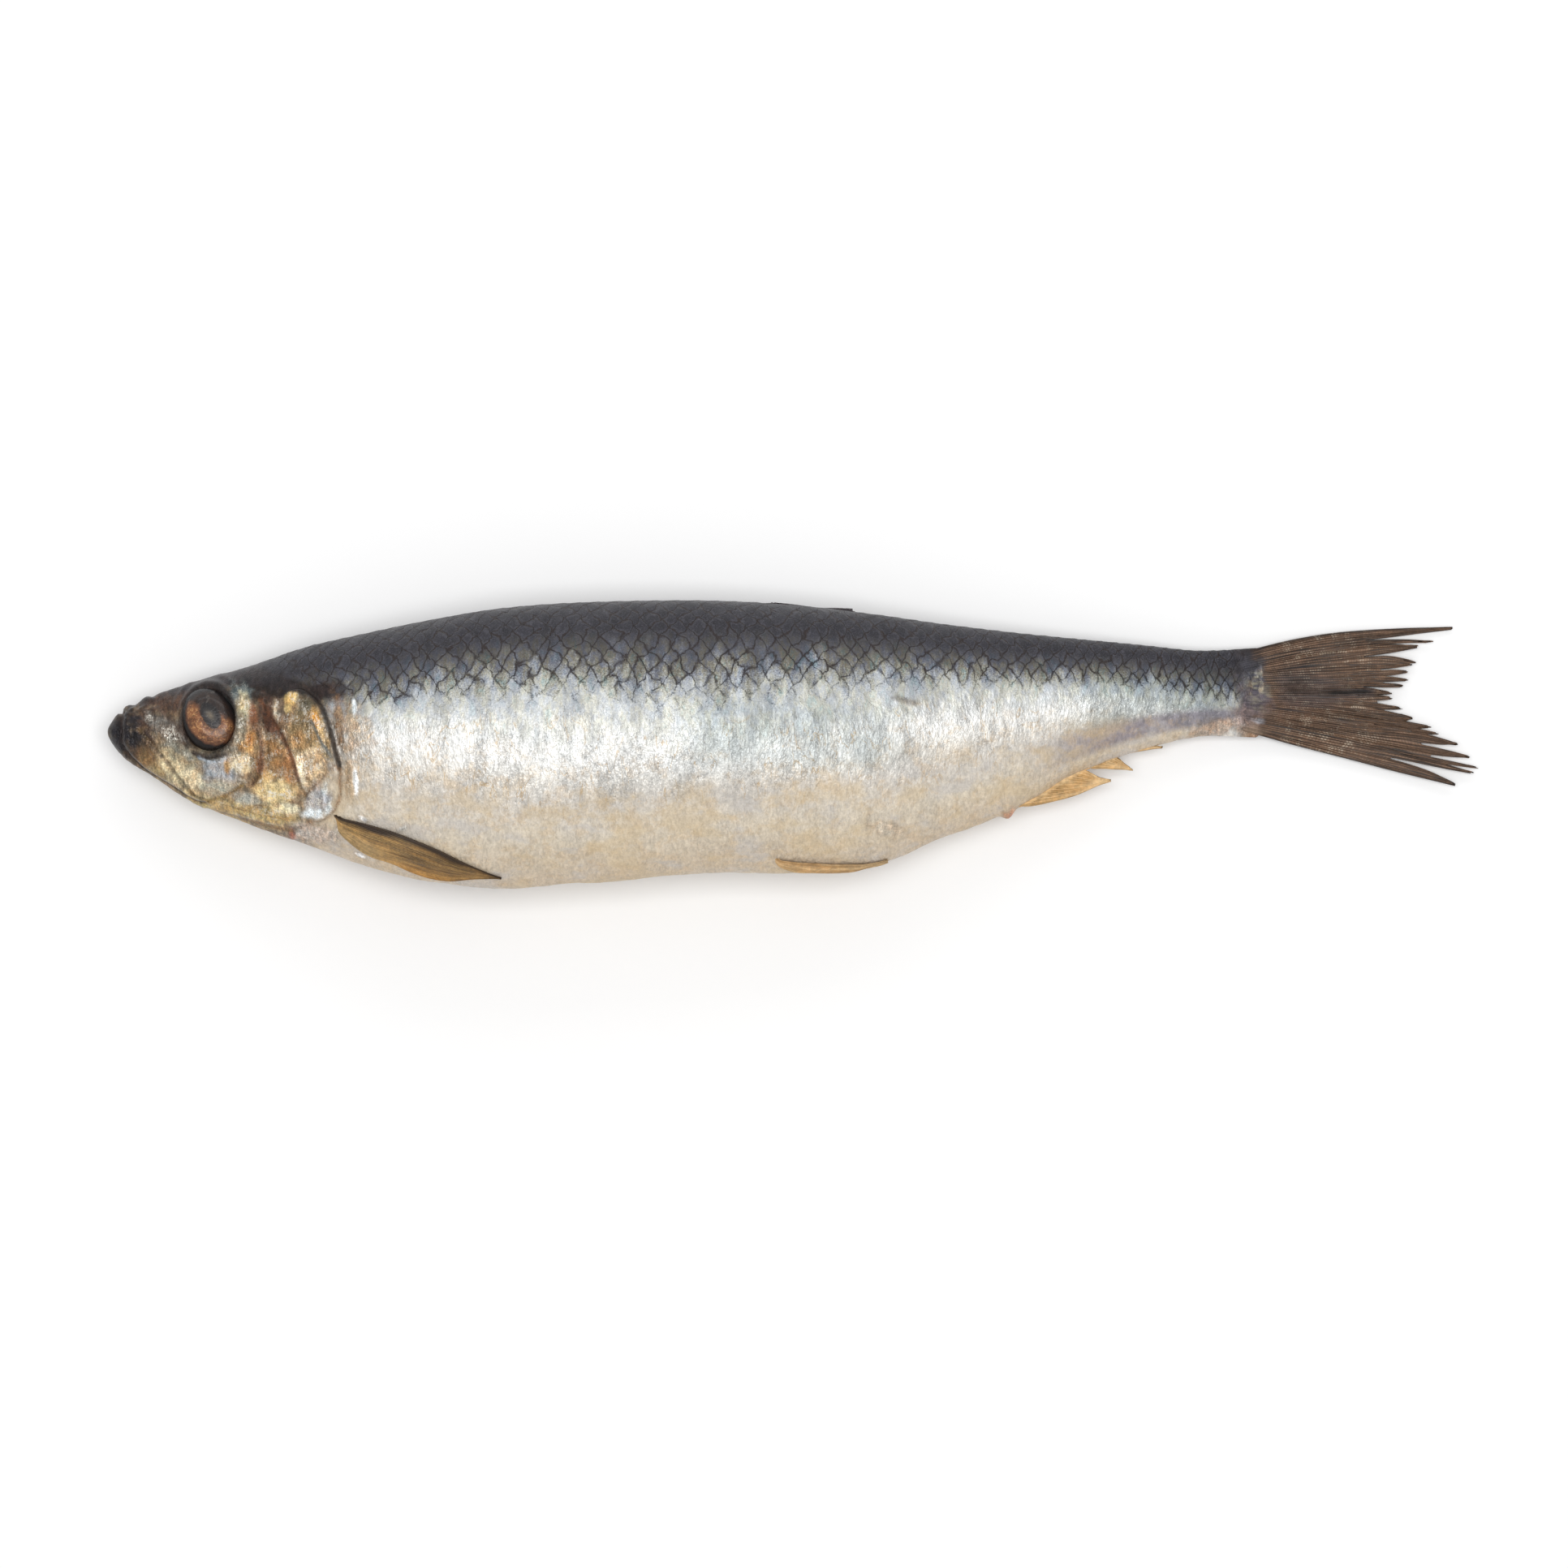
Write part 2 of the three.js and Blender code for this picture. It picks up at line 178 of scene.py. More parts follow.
def lattice_noise(x, y, seed):
    """Smooth noise from -1 to 1 that changes over about one unit of x and y."""
    def corner(i, j):
        wild = np.sin(i * 127.1 + j * 311.7 + seed * 74.7) * 43758.5453
        return wild - np.floor(wild)

    i, j = np.floor(x), np.floor(y)
    u, v = smoothstep(0, 1, x - i), smoothstep(0, 1, y - j)
    low = lerp(corner(i, j), corner(i + 1, j), u)
    high = lerp(corner(i, j + 1), corner(i + 1, j + 1), u)
    return 2 * lerp(low, high, v) - 1


def nearest(x, y, line, rounded=True):
    """For each point: its distance to the line, the side of it that it is on, and how far along it lies."""
    line = np.asarray(line, float)
    if rounded and len(line) > 2:
        at = np.arange(len(line))
        fine = np.linspace(0, len(line) - 1, 6 * len(line))
        line = np.stack([smooth_curve(at, line[:, 0])(fine), smooth_curve(at, line[:, 1])(fine)], -1)
    best = np.full(x.shape, 1e9)
    side, along = np.zeros(x.shape), np.zeros(x.shape)
    for k, ((ax, ay), (bx, by)) in enumerate(zip(line[:-1], line[1:])):
        dx, dy = bx - ax, by - ay
        t = np.clip(((x - ax) * dx + (y - ay) * dy) / (dx * dx + dy * dy), 0, 1)
        away = np.hypot(x - ax - t * dx, y - ay - t * dy)
        closer = away < best
        best = np.where(closer, away, best)
        side = np.where(closer, np.sign(dx * (y - ay) - dy * (x - ax)), side)
        along = np.where(closer, (k + t) / (len(line) - 1), along)
    return best, side, along


# ---------------------------------------------------------------------------------------------------------
# Settings


def metres(name, description, default, low, high):
    return FloatProperty(
        name=name, description=description, default=default, min=low, max=high, unit="LENGTH", precision=5
    )


def colour(name, description, default):
    return FloatVectorProperty(
        name=name, description=description, default=default, size=3, min=0, max=1, subtype="COLOR"
    )


def tint(code):
    """A colour from its usual six-digit code, as linear light."""
    parts = [int(code[i:i + 2], 16) / 255 for i in (0, 2, 4)]
    return tuple(c / 12.92 if c <= 0.04045 else ((c + 0.055) / 1.055) ** 2.4 for c in parts)


class HerringSkin(bpy.types.PropertyGroup):
    scale_length: metres("Scale length", "Length of a scale's bare part in mid-body", 4.4 * MM, MM, 9 * MM)
    scale_height: metres("Scale height", "Height of a scale in mid-body", 5.6 * MM, MM, 9 * MM)
    scale_relief: metres("Scale relief", "How far a scale's rear edge stands up", 0.16 * MM, 0, MM)
    gill_relief: metres("Gill cover relief", "How far the gill cover stands up", 0.9 * MM, 0, 3 * MM)
    back: colour("Back", "The dark back", tint("27262c"))
    # the silver band's colour also carries a painted reflection of the light above
    silver: colour("Silver", "The bright band of the flank", tint("f6f6f3"))
    belly: colour("Belly", "The belly", tint("e6d9c4"))
    # the scale borders' colour also paints shadow along the scale edges
    border: colour("Scale border", "The dark borders of the scales on the back", tint("2a1f1c"))
    amber: colour("Amber", "The oily lines between the scales of the flank", tint("cba66c"))


class HerringFins(bpy.types.PropertyGroup):
    thickness: metres("Thickness", "Thickness of a fin's membrane", 0.35 * MM, 0.1 * MM, 2 * MM)
    ridge: metres("Ray ridge", "How far a fin ray stands out of its membrane", 0.07 * MM, 0, MM)
    dark: colour("Dark fins", "The tail fin and the dorsal fin", tint("614835"))
    brown: colour("Pectoral fins", "The pectoral fins", tint("bd8e50"))
    pale: colour("Pale fins", "The anal and pelvic fins", tint("d9b887"))


class HerringEyes(bpy.types.PropertyGroup):
    pupil: FloatProperty(
        name="Pupil", description="The pupil's share of the iris", default=0.38, min=0.1, max=0.9
    )
    iris: colour("Iris", "The copper of the iris", tint("845334"))
    lens: colour("Lens", "The clouded lens", tint("45413e"))


class HerringStage(bpy.types.PropertyGroup):
    camera_height: metres("Camera height", "Height of the camera above the fish", 2.5, 1.0, 5.0)
    softbox_power: FloatProperty(
        name="Softbox power", description="Power of the main light", default=66.0, min=0
    )
    surround: FloatProperty(
        name="Surround", description="Brightness of the surround", default=0.48, min=0, max=4
    )
    floor: colour("Floor", "The pale floor", tint("fbfbfb"))


# Width that the camera takes in at the height of the fish's outline, that height, and how far the camera
# stands from the middle of the fish, all in metres
FRAME_WIDTH = 0.3546
OUTLINE_HEIGHT = 0.019
CAMERA_SHIFT = (-0.0014, -0.0093)
SENSOR_WIDTH_MM = 36


def settings(group):
    return getattr(bpy.context.scene, "herring_" + group)


# ---------------------------------------------------------------------------------------------------------
# Shader graphs


class Graph:
    """Adds nodes to a node tree. An input may be a plain value or another node's output."""

    def __init__(self, tree):
        self.tree = tree
        self.column = 0

    def node(self, kind, inputs=(), **values):
        made = self.tree.nodes.new(kind)
        self.column += 1
        made.location = (180 * (self.column % 12), -220 * (self.column // 12))
        for name, value in values.items():
            setattr(made, name, value)
        for name, value in dict(inputs).items():
            self.put(made.inputs[name], value)
        return made

    def put(self, socket, value):
        if isinstance(value, bpy.types.NodeSocket):
            self.tree.links.new(value, socket)
        elif socket.type == "RGBA" and len(value) == 3:
            socket.default_value = (*value, 1)
        else:
            socket.default_value = value

    def math(self, operation, a, b=0.0):
        return self.node("ShaderNodeMath", {0: a, 1: b}, operation=operation).outputs[0]

    def times(self, a, b):
        return self.math("MULTIPLY", a, b)

    def plus(self, a, b):
        return self.math("ADD", a, b)

    def minus(self, a, b):
        return self.math("SUBTRACT", a, b)

    def step(self, value, low, high, to_low=0.0, to_high=1.0):
        made = self.node(
            "ShaderNodeMapRange",
            {"Value": value, "From Min": low, "From Max": high, "To Min": to_low, "To Max": to_high},
            interpolation_type="SMOOTHSTEP",
        )
        return made.outputs["Result"]

    def mix(self, share, a, b, blend="MIX"):
        made = self.node("ShaderNodeMix", data_type="RGBA", blend_type=blend)
        for name, value in (("Factor_Float", share), ("A_Color", a), ("B_Color", b)):
            self.put(next(s for s in made.inputs if s.identifier == name), value)
        return next(s for s in made.outputs if s.identifier == "Result_Color")

    def noise(self, vector, scale, detail=2.0, roughness=0.5, distortion=0.0, output="Fac"):
        values = {"Vector": vector, "Scale": scale, "Detail": detail, "Roughness": roughness}
        values["Distortion"] = distortion
        return self.node("ShaderNodeTexNoise", values).outputs[output]

    def stretch(self, vector, factors):
        made = self.node("ShaderNodeMapping", {"Vector": vector, "Scale": factors})
        return made.outputs["Vector"]

    def ramp(self, value, stops, interpolation="LINEAR"):
        made = self.node("ShaderNodeValToRGB", {"Fac": value})
        made.color_ramp.interpolation = interpolation
        elements = made.color_ramp.elements
        while len(elements) < len(stops):
            elements.new(1.0)
        for element, (place, shade) in zip(elements, stops):
            element.position = place
            element.color = (*shade, 1)
        return made.outputs["Color"]

    def attribute(self, name, output="Fac"):
        return self.node("ShaderNodeAttribute", attribute_name=name).outputs[output]


def new_group(name, inputs, outputs):
    """An empty shader node group with float, colour and vector sockets, and its graph."""
    tree = bpy.data.node_groups.new(name, "ShaderNodeTree")
    kinds = {"float": "NodeSocketFloat", "vector": "NodeSocketVector", "colour": "NodeSocketColor"}
    for label, kind, default in inputs:
        socket = tree.interface.new_socket(label, in_out="INPUT", socket_type=kinds[kind])
        if default is not None:
            socket.default_value = default
    for label, kind in outputs:
        tree.interface.new_socket(label, in_out="OUTPUT", socket_type=kinds[kind])
    graph = Graph(tree)
    return tree, graph, graph.node("NodeGroupInput").outputs, graph.node("NodeGroupOutput").inputs


def use_group(graph, tree, **inputs):
    made = graph.node("ShaderNodeGroup")
    made.node_tree = tree
    for name, value in inputs.items():
        graph.put(made.inputs[name.replace("_", " ")], value)
    return made.outputs


def scale_pattern():
    """Overlapping fish scales. Cells is a place counted in scales: x towards the tail, y down the flank.
    Distance is from the nearest border, Along runs from a scale's front to its rear and Across over its
    height."""
    tree, g, given, out = new_group(
        "Fish scales",
        [("Cells", "vector", None), ("Irregular", "float", 1.0)],
        [(label, "float") for label in ("Distance", "Corner", "Along", "Across", "Shade")],
    )
    cells = given["Cells"]
    for often, amount, detail in ((0.7, 1.0, 1.0), (2.4, 0.42, 2.0), (11.0, 0.08, 2.0)):
        wild = g.noise(cells, often, detail=detail, output="Color")
        centred = g.node("ShaderNodeVectorMath", {0: wild, 1: (0.5, 0.5, 0.5)}, operation="SUBTRACT")
        scaled = g.node("ShaderNodeVectorMath", {0: centred.outputs[0]}, operation="SCALE")
        g.put(scaled.inputs["Scale"], g.times(given["Irregular"], amount))
        cells = g.node("ShaderNodeVectorMath", {0: cells, 1: scaled.outputs[0]}, operation="ADD").outputs[0]
    place = g.node("ShaderNodeSeparateXYZ", {0: cells}).outputs
    column = g.math("FLOOR", g.times(place["X"], 2.0))
    past = g.minus(place["X"], g.times(column, 0.5))
    odd = g.times(g.math("FLOORED_MODULO", column, 2.0), 0.5)

    def scale_row(shift):
        """A column's scales here: height over the scale's middle, its row, its rear edge and its lean."""
        level = g.minus(place["Y"], shift)
        row = g.math("FLOOR", g.plus(level, 0.5))
        up = g.minus(level, row)
        outer = g.math("ABSOLUTE", g.times(up, 2.0))
        edge = g.times(g.minus(1.0, g.math("POWER", outer, SCALE_POINT)), SCALE_REACH)
        return up, row, edge, g.minus(1.0, g.times(outer, 0.42))

    own_up, own_row, own_edge, own_lean = scale_row(odd)
    next_up, next_row, next_edge, next_lean = scale_row(g.minus(0.5, odd))
    own_gap = g.minus(past, own_edge)
    ahead = g.math("ABSOLUTE", g.minus(g.minus(past, 0.5), next_edge))
    behind = g.math("ABSOLUTE", g.minus(g.plus(past, 0.5), next_edge))
    own_away = g.times(g.math("ABSOLUTE", own_gap), own_lean)
    next_away = g.times(g.math("MINIMUM", ahead, behind), next_lean)
    g.put(out["Distance"], g.math("MINIMUM", own_away, next_away))
    g.put(out["Corner"], g.step(g.plus(own_away, next_away), 0.04, 0.24, 1.0, 0.0))
    beyond = g.math("GREATER_THAN", own_gap, 0.0)
    inside = g.minus(1.0, beyond)

    def chosen(next_value, own_value):
        return g.plus(g.times(beyond, next_value), g.times(inside, own_value))

    g.put(out["Along"], g.plus(past, g.times(inside, 0.5)))
    g.put(out["Across"], chosen(next_up, own_up))
    own_name = g.plus(g.times(column, 17.0), own_row)
    next_name = g.plus(g.times(g.plus(column, 1.0), 17.0), next_row)
    name = chosen(next_name, own_name)
    shade = g.node("ShaderNodeTexWhiteNoise", {"W": name}, noise_dimensions="1D")
    g.put(out["Shade"], shade.outputs["Value"])
    return tree


def wet_grain():
    """Fine mottling and pores of a wet surface. Place is in metres and Size is the grain's in metres."""
    tree, g, given, out = new_group(
        "Wet grain",
        [("Place", "vector", None), ("Size", "float", MM), ("Contrast", "float", 1.0)],
        [("Mottle", "float"), ("Height", "float")],
    )
    often = g.math("DIVIDE", 1.0, given["Size"])
    coarse = g.noise(given["Place"], g.times(often, 0.35), detail=3.0, roughness=0.6)
    fine = g.noise(given["Place"], often, detail=2.0, roughness=0.6)
    both = g.plus(g.times(coarse, 0.5), g.times(fine, 0.5))
    swing = g.times(g.minus(both, 0.5), given["Contrast"])
    g.put(out["Mottle"], g.plus(swing, 0.5))
    g.put(out["Height"], fine)
    return tree


def fin_rays():
    """Jointed rays of a fin. Spread is a place on the fin: x from its root to its tip, y counted in rays."""
    tree, g, given, out = new_group(
        "Fin rays",
        [("Spread", "vector", None), ("Joints", "float", 60.0), ("Branches", "float", 2.0)],
        [("Ray", "float"), ("Bundle", "float"), ("Joint", "float"), ("Height", "float")],
    )
    wander = g.noise(g.stretch(given["Spread"], (1.5, 0.9, 1.0)), 1.0, detail=3.0, roughness=0.6)
    place = g.node("ShaderNodeSeparateXYZ", {0: given["Spread"]}).outputs
    across = g.plus(place["Y"], g.times(g.minus(wander, 0.5), 1.3))

    def stripes(often):
        turn = g.times(g.times(across, often), 2 * math.pi)
        return g.plus(g.times(g.math("COSINE", turn), 0.5), 0.5)

    branching = g.step(place["X"], 0.35, 0.75)
    coarse, split = stripes(given["Branches"]), stripes(g.times(given["Branches"], 2.0))
    thick = g.times(coarse, g.minus(1.0, branching))
    ray = g.plus(thick, g.times(split, branching))
    row = g.math("FLOOR", g.plus(g.times(across, given["Branches"]), 0.5))
    shift = g.node("ShaderNodeTexWhiteNoise", {"W": row}, noise_dimensions="1D").outputs["Value"]
    joint = g.math("PINGPONG", g.plus(g.times(place["X"], given["Joints"]), shift), 0.5)
    bundles = g.noise(g.stretch(given["Spread"], (1.6, 0.5, 1.0)), 1.0, detail=4.0, roughness=0.65)
    g.put(out["Ray"], ray)
    g.put(out["Bundle"], g.step(bundles, 0.38, 0.62))
    g.put(out["Joint"], g.step(joint, 0.04, 0.22))
    g.put(out["Height"], g.times(ray, g.step(joint, 0.0, 0.25, 0.6, 1.0)))
    return tree


GROUPS = {}


def group(name):
    """The shared node group of this name, built when it is first used."""
    builders = {"scales": scale_pattern, "grain": wet_grain, "rays": fin_rays}
    if name not in GROUPS:
        GROUPS[name] = builders[name]()
    return GROUPS[name]


def new_material(name):
    """A material with an empty Principled shader, its graph and its shader node."""
    material = bpy.data.materials.new(name)
    material.use_nodes = True
    shader = material.node_tree.nodes["Principled BSDF"]
    return material, Graph(material.node_tree), shader


def bump(g, height, distance, strength=1.0, normal=None):
    made = g.node("ShaderNodeBump", {"Height": height, "Distance": distance, "Strength": strength})
    if normal is not None:
        g.put(made.inputs["Normal"], normal)
    return made.outputs["Normal"]


# The flank's colours from the back (0) to the belly (1); the named ones are settings. The near-white
# silver band is the flank's own silver with a painted reflection of the light above it.
FLANK_STOPS = [
    (0.0, "back", None),
    (0.15, None, "2e2d34"),
    (0.21, None, "54555b"),
    (0.27, None, "9b9fa2"),
    (0.33, None, "c9cdcd"),
    (0.42, None, "e2e4e1"),
    (0.54, "silver", None),
    (0.62, None, "f4f1ea"),
    (0.71, None, "e4ddd3"),
    (0.84, "belly", None),
    (1.0, None, "dcc8ae"),
]


def scaled(g, colour_value, factor):
    made = g.node("ShaderNodeVectorMath", {0: colour_value}, operation="SCALE")
    g.put(made.inputs["Scale"], factor)
    return made.outputs[0]


def head_colour(g, place, grain, painted):
    """The painted head, broken up by warm and cool mottling, dark veins and painted highlights: bright glints
    in hair-like streaks and curls where the flecks attribute allows them.
    """
    warm = g.noise(place, 380.0, detail=4.0, roughness=0.65)
    veins = g.noise(place, 260.0, detail=4.0, roughness=0.6, distortion=0.8)
    vein = g.step(g.math("ABSOLUTE", g.minus(veins, 0.5)), 0.0, 0.022, 1.0, 0.0)
    fine = g.noise(place, 2600.0, detail=3.0, roughness=0.75)
    head = g.mix(g.step(warm, 0.4, 0.62, 0.0, 0.3), painted.outputs["Color"], tint("a87c48"), "OVERLAY")
    head = g.mix(g.step(warm, 0.5, 0.34, 0.0, 0.4), head, tint("7f8b94"), "OVERLAY")
    head = scaled(g, head, g.step(grain["Mottle"], 0.25, 0.75, 0.7, 1.6))
    head = scaled(g, head, g.step(fine, 0.32, 0.68, 0.72, 1.38))
    drawn = g.stretch(place, (1000.0, 300.0, 300.0))
    streaks = g.noise(drawn, 1.0, detail=4.0, roughness=0.65, distortion=0.6)
    head = scaled(g, head, g.step(streaks, 0.3, 0.7, 0.58, 1.5))
    head = g.mix(g.times(vein, 0.12), head, tint("3b2c20"))
    # painted highlights: glints in hair-like streaks and curls, where the flecks attribute allows them
    patches = g.noise(place, 330.0, detail=2.0)
    hair_glints = g.noise(g.stretch(place, (1900.0, 900.0, 900.0)), 1.0, detail=4.0, roughness=0.75, distortion=0.6)
    curled_glints = g.noise(place, 620.0, detail=3.0, roughness=0.6, distortion=1.2)
    curled_glints = g.step(g.math("ABSOLUTE", g.minus(curled_glints, 0.5)), 0.01, 0.035, 1.0, 0.0)
    glint = g.times(g.math("MAXIMUM", g.step(hair_glints, 0.52, 0.6), curled_glints), g.step(patches, 0.46, 0.56))
    return g.mix(g.times(glint, g.attribute("flecks")), head, tint("f6f1e4"))


def skin_material():
    """Wet scaled skin: dark back, iridescent shoulder, silver flank and beige belly, with a painted head."""
    look = settings("skin")
    material, g, shader = new_material("Herring skin")
    place = g.node("ShaderNodeTexCoord").outputs["Object"]
    cells = g.node("ShaderNodeUVMap", uv_map="Scales").outputs["UV"]
    scales = use_group(g, group("scales"), Cells=cells, Irregular=1.0)
    grain = use_group(g, group("grain"), Place=place, Size=0.45 * MM, Contrast=1.0)
    flank = g.attribute("flank")
    painted = g.node("ShaderNodeAttribute", attribute_name="paint")
    scaly = g.attribute("scaly")
    rear = g.attribute("rear")
    stipple = g.noise(place, 3000.0, detail=3.0, roughness=0.8)
    width = g.step(g.noise(cells, 2.2, detail=3.0), 0.35, 0.65, 0.35, 1.5)
    distance = g.math("DIVIDE", scales["Distance"], width)
    line = g.times(g.step(distance, 0.008, 0.06, 1.0, 0.0), scaly)
    corner = g.times(scales["Corner"], scaly)

    # the bands follow whole scales, their borders and a fine stipple, so that they have ragged edges
    slant = {"Vector": place, "Rotation": (0, 0, 0.22), "Scale": (1.0, 0.3, 0.3)}
    slanted = g.node("ShaderNodeMapping", slant).outputs["Vector"]
    streaks = g.noise(slanted, 380.0, detail=5.0, roughness=0.7)
    shoulder = g.times(g.step(flank, 0.08, 0.22), g.step(flank, 0.56, 0.36))
    tone = g.plus(flank, g.times(g.minus(scales["Shade"], 0.5), 0.035))
    tone = g.plus(tone, g.times(g.minus(streaks, 0.5), g.step(flank, 0.75, 0.5, 0.06, 0.26)))
    dotted = g.times(g.minus(stipple, 0.5), g.times(shoulder, 0.34))
    tone = g.plus(tone, dotted)
    # the dark net, partly painted shadow at the scale edges, also lowers the tone a little
    held = g.times(g.math("MAXIMUM", line, g.times(corner, 0.7)), 0.05)
    held = g.times(held, g.step(flank, 0.34, 0.22))
    tone = g.minus(tone, g.times(held, shoulder))
    stops = [(at, tuple(getattr(look, name)) if name else tint(code)) for at, name, code in FLANK_STOPS]
    skin_colour = g.ramp(tone, stops)

    # iridescence where the back turns to silver
    sheen = g.noise(g.stretch(place, (340.0, 190.0, 190.0)), 1.0, detail=4.0, roughness=0.7)
    glints = g.ramp(sheen, [
        (0.32, tint("8fb6c6")), (0.42, tint("b2b8cc")), (0.5, tint("c6c6c0")),
        (0.57, tint("dccfa6")), (0.67, tint("a9cabf")),
    ])
    skin_colour = g.mix(g.times(shoulder, 0.4), skin_colour, glints, "SOFT_LIGHT")
    skin_colour = g.mix(g.times(shoulder, 0.16), skin_colour, glints)

    # lavender bloom low on the tail's root, amber oil low on the flank
    skin_colour = g.mix(g.attribute("lavender"), skin_colour, tint("857c8c"))
    oil = g.noise(place, 260.0, detail=5.0, roughness=0.75)
    oily = g.times(g.step(oil, 0.48, 0.62), g.step(tone, 0.4, 0.62))
    skin_colour = g.mix(g.times(oily, 0.34), skin_colour, tint("dcbd92"))

    # soft grey clouds and bright streaks on the flank
    bright = g.times(g.step(tone, 0.3, 0.45), g.step(tone, 0.78, 0.66))
    clouds = g.noise(slanted, 300.0, detail=6.0, roughness=0.75)
    cloudy = scaled(g, skin_colour, g.step(clouds, 0.34, 0.6, 0.76, 1.1))
    skin_colour = g.mix(g.step(tone, 0.8, 0.6, 0.3, 1.0), skin_colour, cloudy)
    grey_dots = g.times(g.step(stipple, 0.53, 0.62), g.step(clouds, 0.54, 0.44))
    skin_colour = g.mix(g.times(g.times(grey_dots, bright), 0.5), skin_colour, tint("77777a"))

    # each scale's own tone with painted shade near its borders and on its lower side, then the dark or
    # amber borders between scales; the dark ones are pigment with painted shadow along the scale edges
    shade = g.step(scales["Shade"], 0.0, 1.0, 0.9, 1.1)
    # painted shade: darker towards the borders and the lower side of each scale
    rim = g.step(distance, 0.0, 0.2, 0.74, 1.0)
    lower_side_shade = g.step(scales["Across"], 0.05, 0.5, 1.05, 0.85)
    shade = g.times(g.times(shade, rim), lower_side_shade)
    weight = g.times(scaly, g.step(tone, 0.38, 0.2, 0.08, 1.0))
    skin_colour = g.mix(weight, skin_colour, scaled(g, skin_colour, shade))
    patchy = g.noise(cells, 0.7, detail=4.0, roughness=0.65)
    whole = g.math("MAXIMUM", g.step(patchy, 0.4, 0.54, 0.2, 1.0), g.step(tone, 0.2, 0.1))
    on_back = g.times(g.step(tone, 0.3, 0.17), whole)
    on_flank = g.times(g.attribute("amber"), g.step(patchy, 0.44, 0.56))
    wavy = g.noise(slanted, 210.0, detail=3.0, roughness=0.6, distortion=0.9)
    wavy = g.step(g.math("ABSOLUTE", g.minus(wavy, 0.5)), 0.0, 0.016, 1.0, 0.0)
    # the dark net: pigment in the scale pockets, with painted shadow along the scale edges and in the corners
    corner_pigment_and_shade = g.times(corner, g.step(grain["Mottle"], 0.38, 0.58, 0.35, 1.0))
    dark = g.times(g.math("MAXIMUM", line, corner_pigment_and_shade), on_back)
    lit = g.times(g.step(stipple, 0.5, 0.64), g.step(flank, 0.28, 0.12))
    skin_colour = g.mix(g.times(lit, 0.3), skin_colour, tint("6c6b78"))
    # painted highlight along the scale borders on the back
    rim_highlight = g.times(g.step(distance, 0.17, 0.08), g.step(tone, 0.24, 0.12, 0.0, 0.14))
    skin_colour = g.mix(g.times(rim_highlight, scaly), skin_colour, tint("7d7c87"))
    skin_colour = g.mix(g.times(dark, 0.88), skin_colour, tuple(look.border))
    oiled = g.times(g.times(wavy, on_flank), 0.6)
    skin_colour = g.mix(oiled, skin_colour, tuple(look.amber))

    # fine wrinkles and mottling all over
    slant = {"Vector": place, "Rotation": (0, 0, 0.45), "Scale": (1700.0, 650.0, 650.0)}
    ridges = g.node("ShaderNodeMapping", slant).outputs["Vector"]
    wrinkles = g.noise(ridges, 1.0, detail=2.0, roughness=0.55, distortion=0.5)
    low_flank = g.step(tone, 0.3, 0.46)
    creased = g.math("MAXIMUM", g.times(low_flank, 0.8), rear)
    skin_colour = g.mix(creased, skin_colour, scaled(g, skin_colour, g.step(wrinkles, 0.3, 0.7, 0.8, 1.08)))
    wide = g.noise(g.stretch(place, (1.0, 1.6, 1.6)), 70.0, detail=4.0, roughness=0.6)
    on_belly = g.step(tone, 0.6, 0.74)
    skin_colour = g.mix(g.times(on_belly, g.step(wide, 0.48, 0.62, 0.0, 0.45)), skin_colour, tint("dcc399"))
    skin_colour = g.mix(g.times(on_belly, g.step(wide, 0.46, 0.34, 0.0, 0.5)), skin_colour, tint("cfcbc8"))
    skin_colour = scaled(g, skin_colour, g.step(grain["Mottle"], 0.25, 0.75, 0.78, 1.04))
    # painted shade: the stalk and the middle of the flank are darkened
    skin_colour = g.mix(g.attribute("dull"), skin_colour, (0.7, 0.74, 0.75), "MULTIPLY")

    head = head_colour(g, place, grain, painted)
    skin_colour = g.mix(painted.outputs["Alpha"], skin_colour, head)
    g.put(shader.inputs["Base Color"], skin_colour)

    # gloss: satin back, bright flank, wet head
    wet = g.noise(place, 90.0, detail=3.0)
    gloss = g.ramp(tone, [(0.0, (0.46,) * 3), (0.3, (0.38,) * 3), (0.5, (0.3,) * 3), (0.75, (0.42,) * 3)])
    gloss = g.plus(gloss, g.step(wet, 0.3, 0.7, -0.06, 0.08))
    gloss = g.plus(gloss, g.times(g.attribute("glossy"), -0.16))
    g.put(shader.inputs["Roughness"], gloss)
    silvery = g.times(g.step(tone, 0.24, 0.42), g.step(tone, 0.8, 0.62))
    metal = g.times(silvery, 0.3)
    metal = g.plus(metal, g.times(g.attribute("flecks"), 0.25))
    g.put(shader.inputs["Metallic"], metal)
    shader.inputs["Specular IOR Level"].default_value = 0.3
    shader.inputs["Coat Weight"].default_value = 0.07
    shader.inputs["Coat Roughness"].default_value = 0.2

    # relief: scales, wrinkled belly, striped rear flank and pores
    tilt = g.times(g.times(scales["Along"], scaly), 0.5)
    groove = g.times(g.step(distance, 0.0, 0.09, 1.0, 0.0), g.step(tone, 0.34, 0.2, 0.04, 1.0))
    groove = g.times(g.times(groove, scaly), -0.9)
    height = g.plus(tilt, groove)
    fold = g.times(g.minus(wrinkles, 0.5), creased)
    height = g.plus(height, g.times(fold, 2.0))
    height = g.plus(height, g.times(clouds, 1.2))
    height = g.plus(height, g.times(grain["Height"], 0.5))
    g.put(shader.inputs["Normal"], bump(g, height, 0.22 * MM, 0.9))
    return material


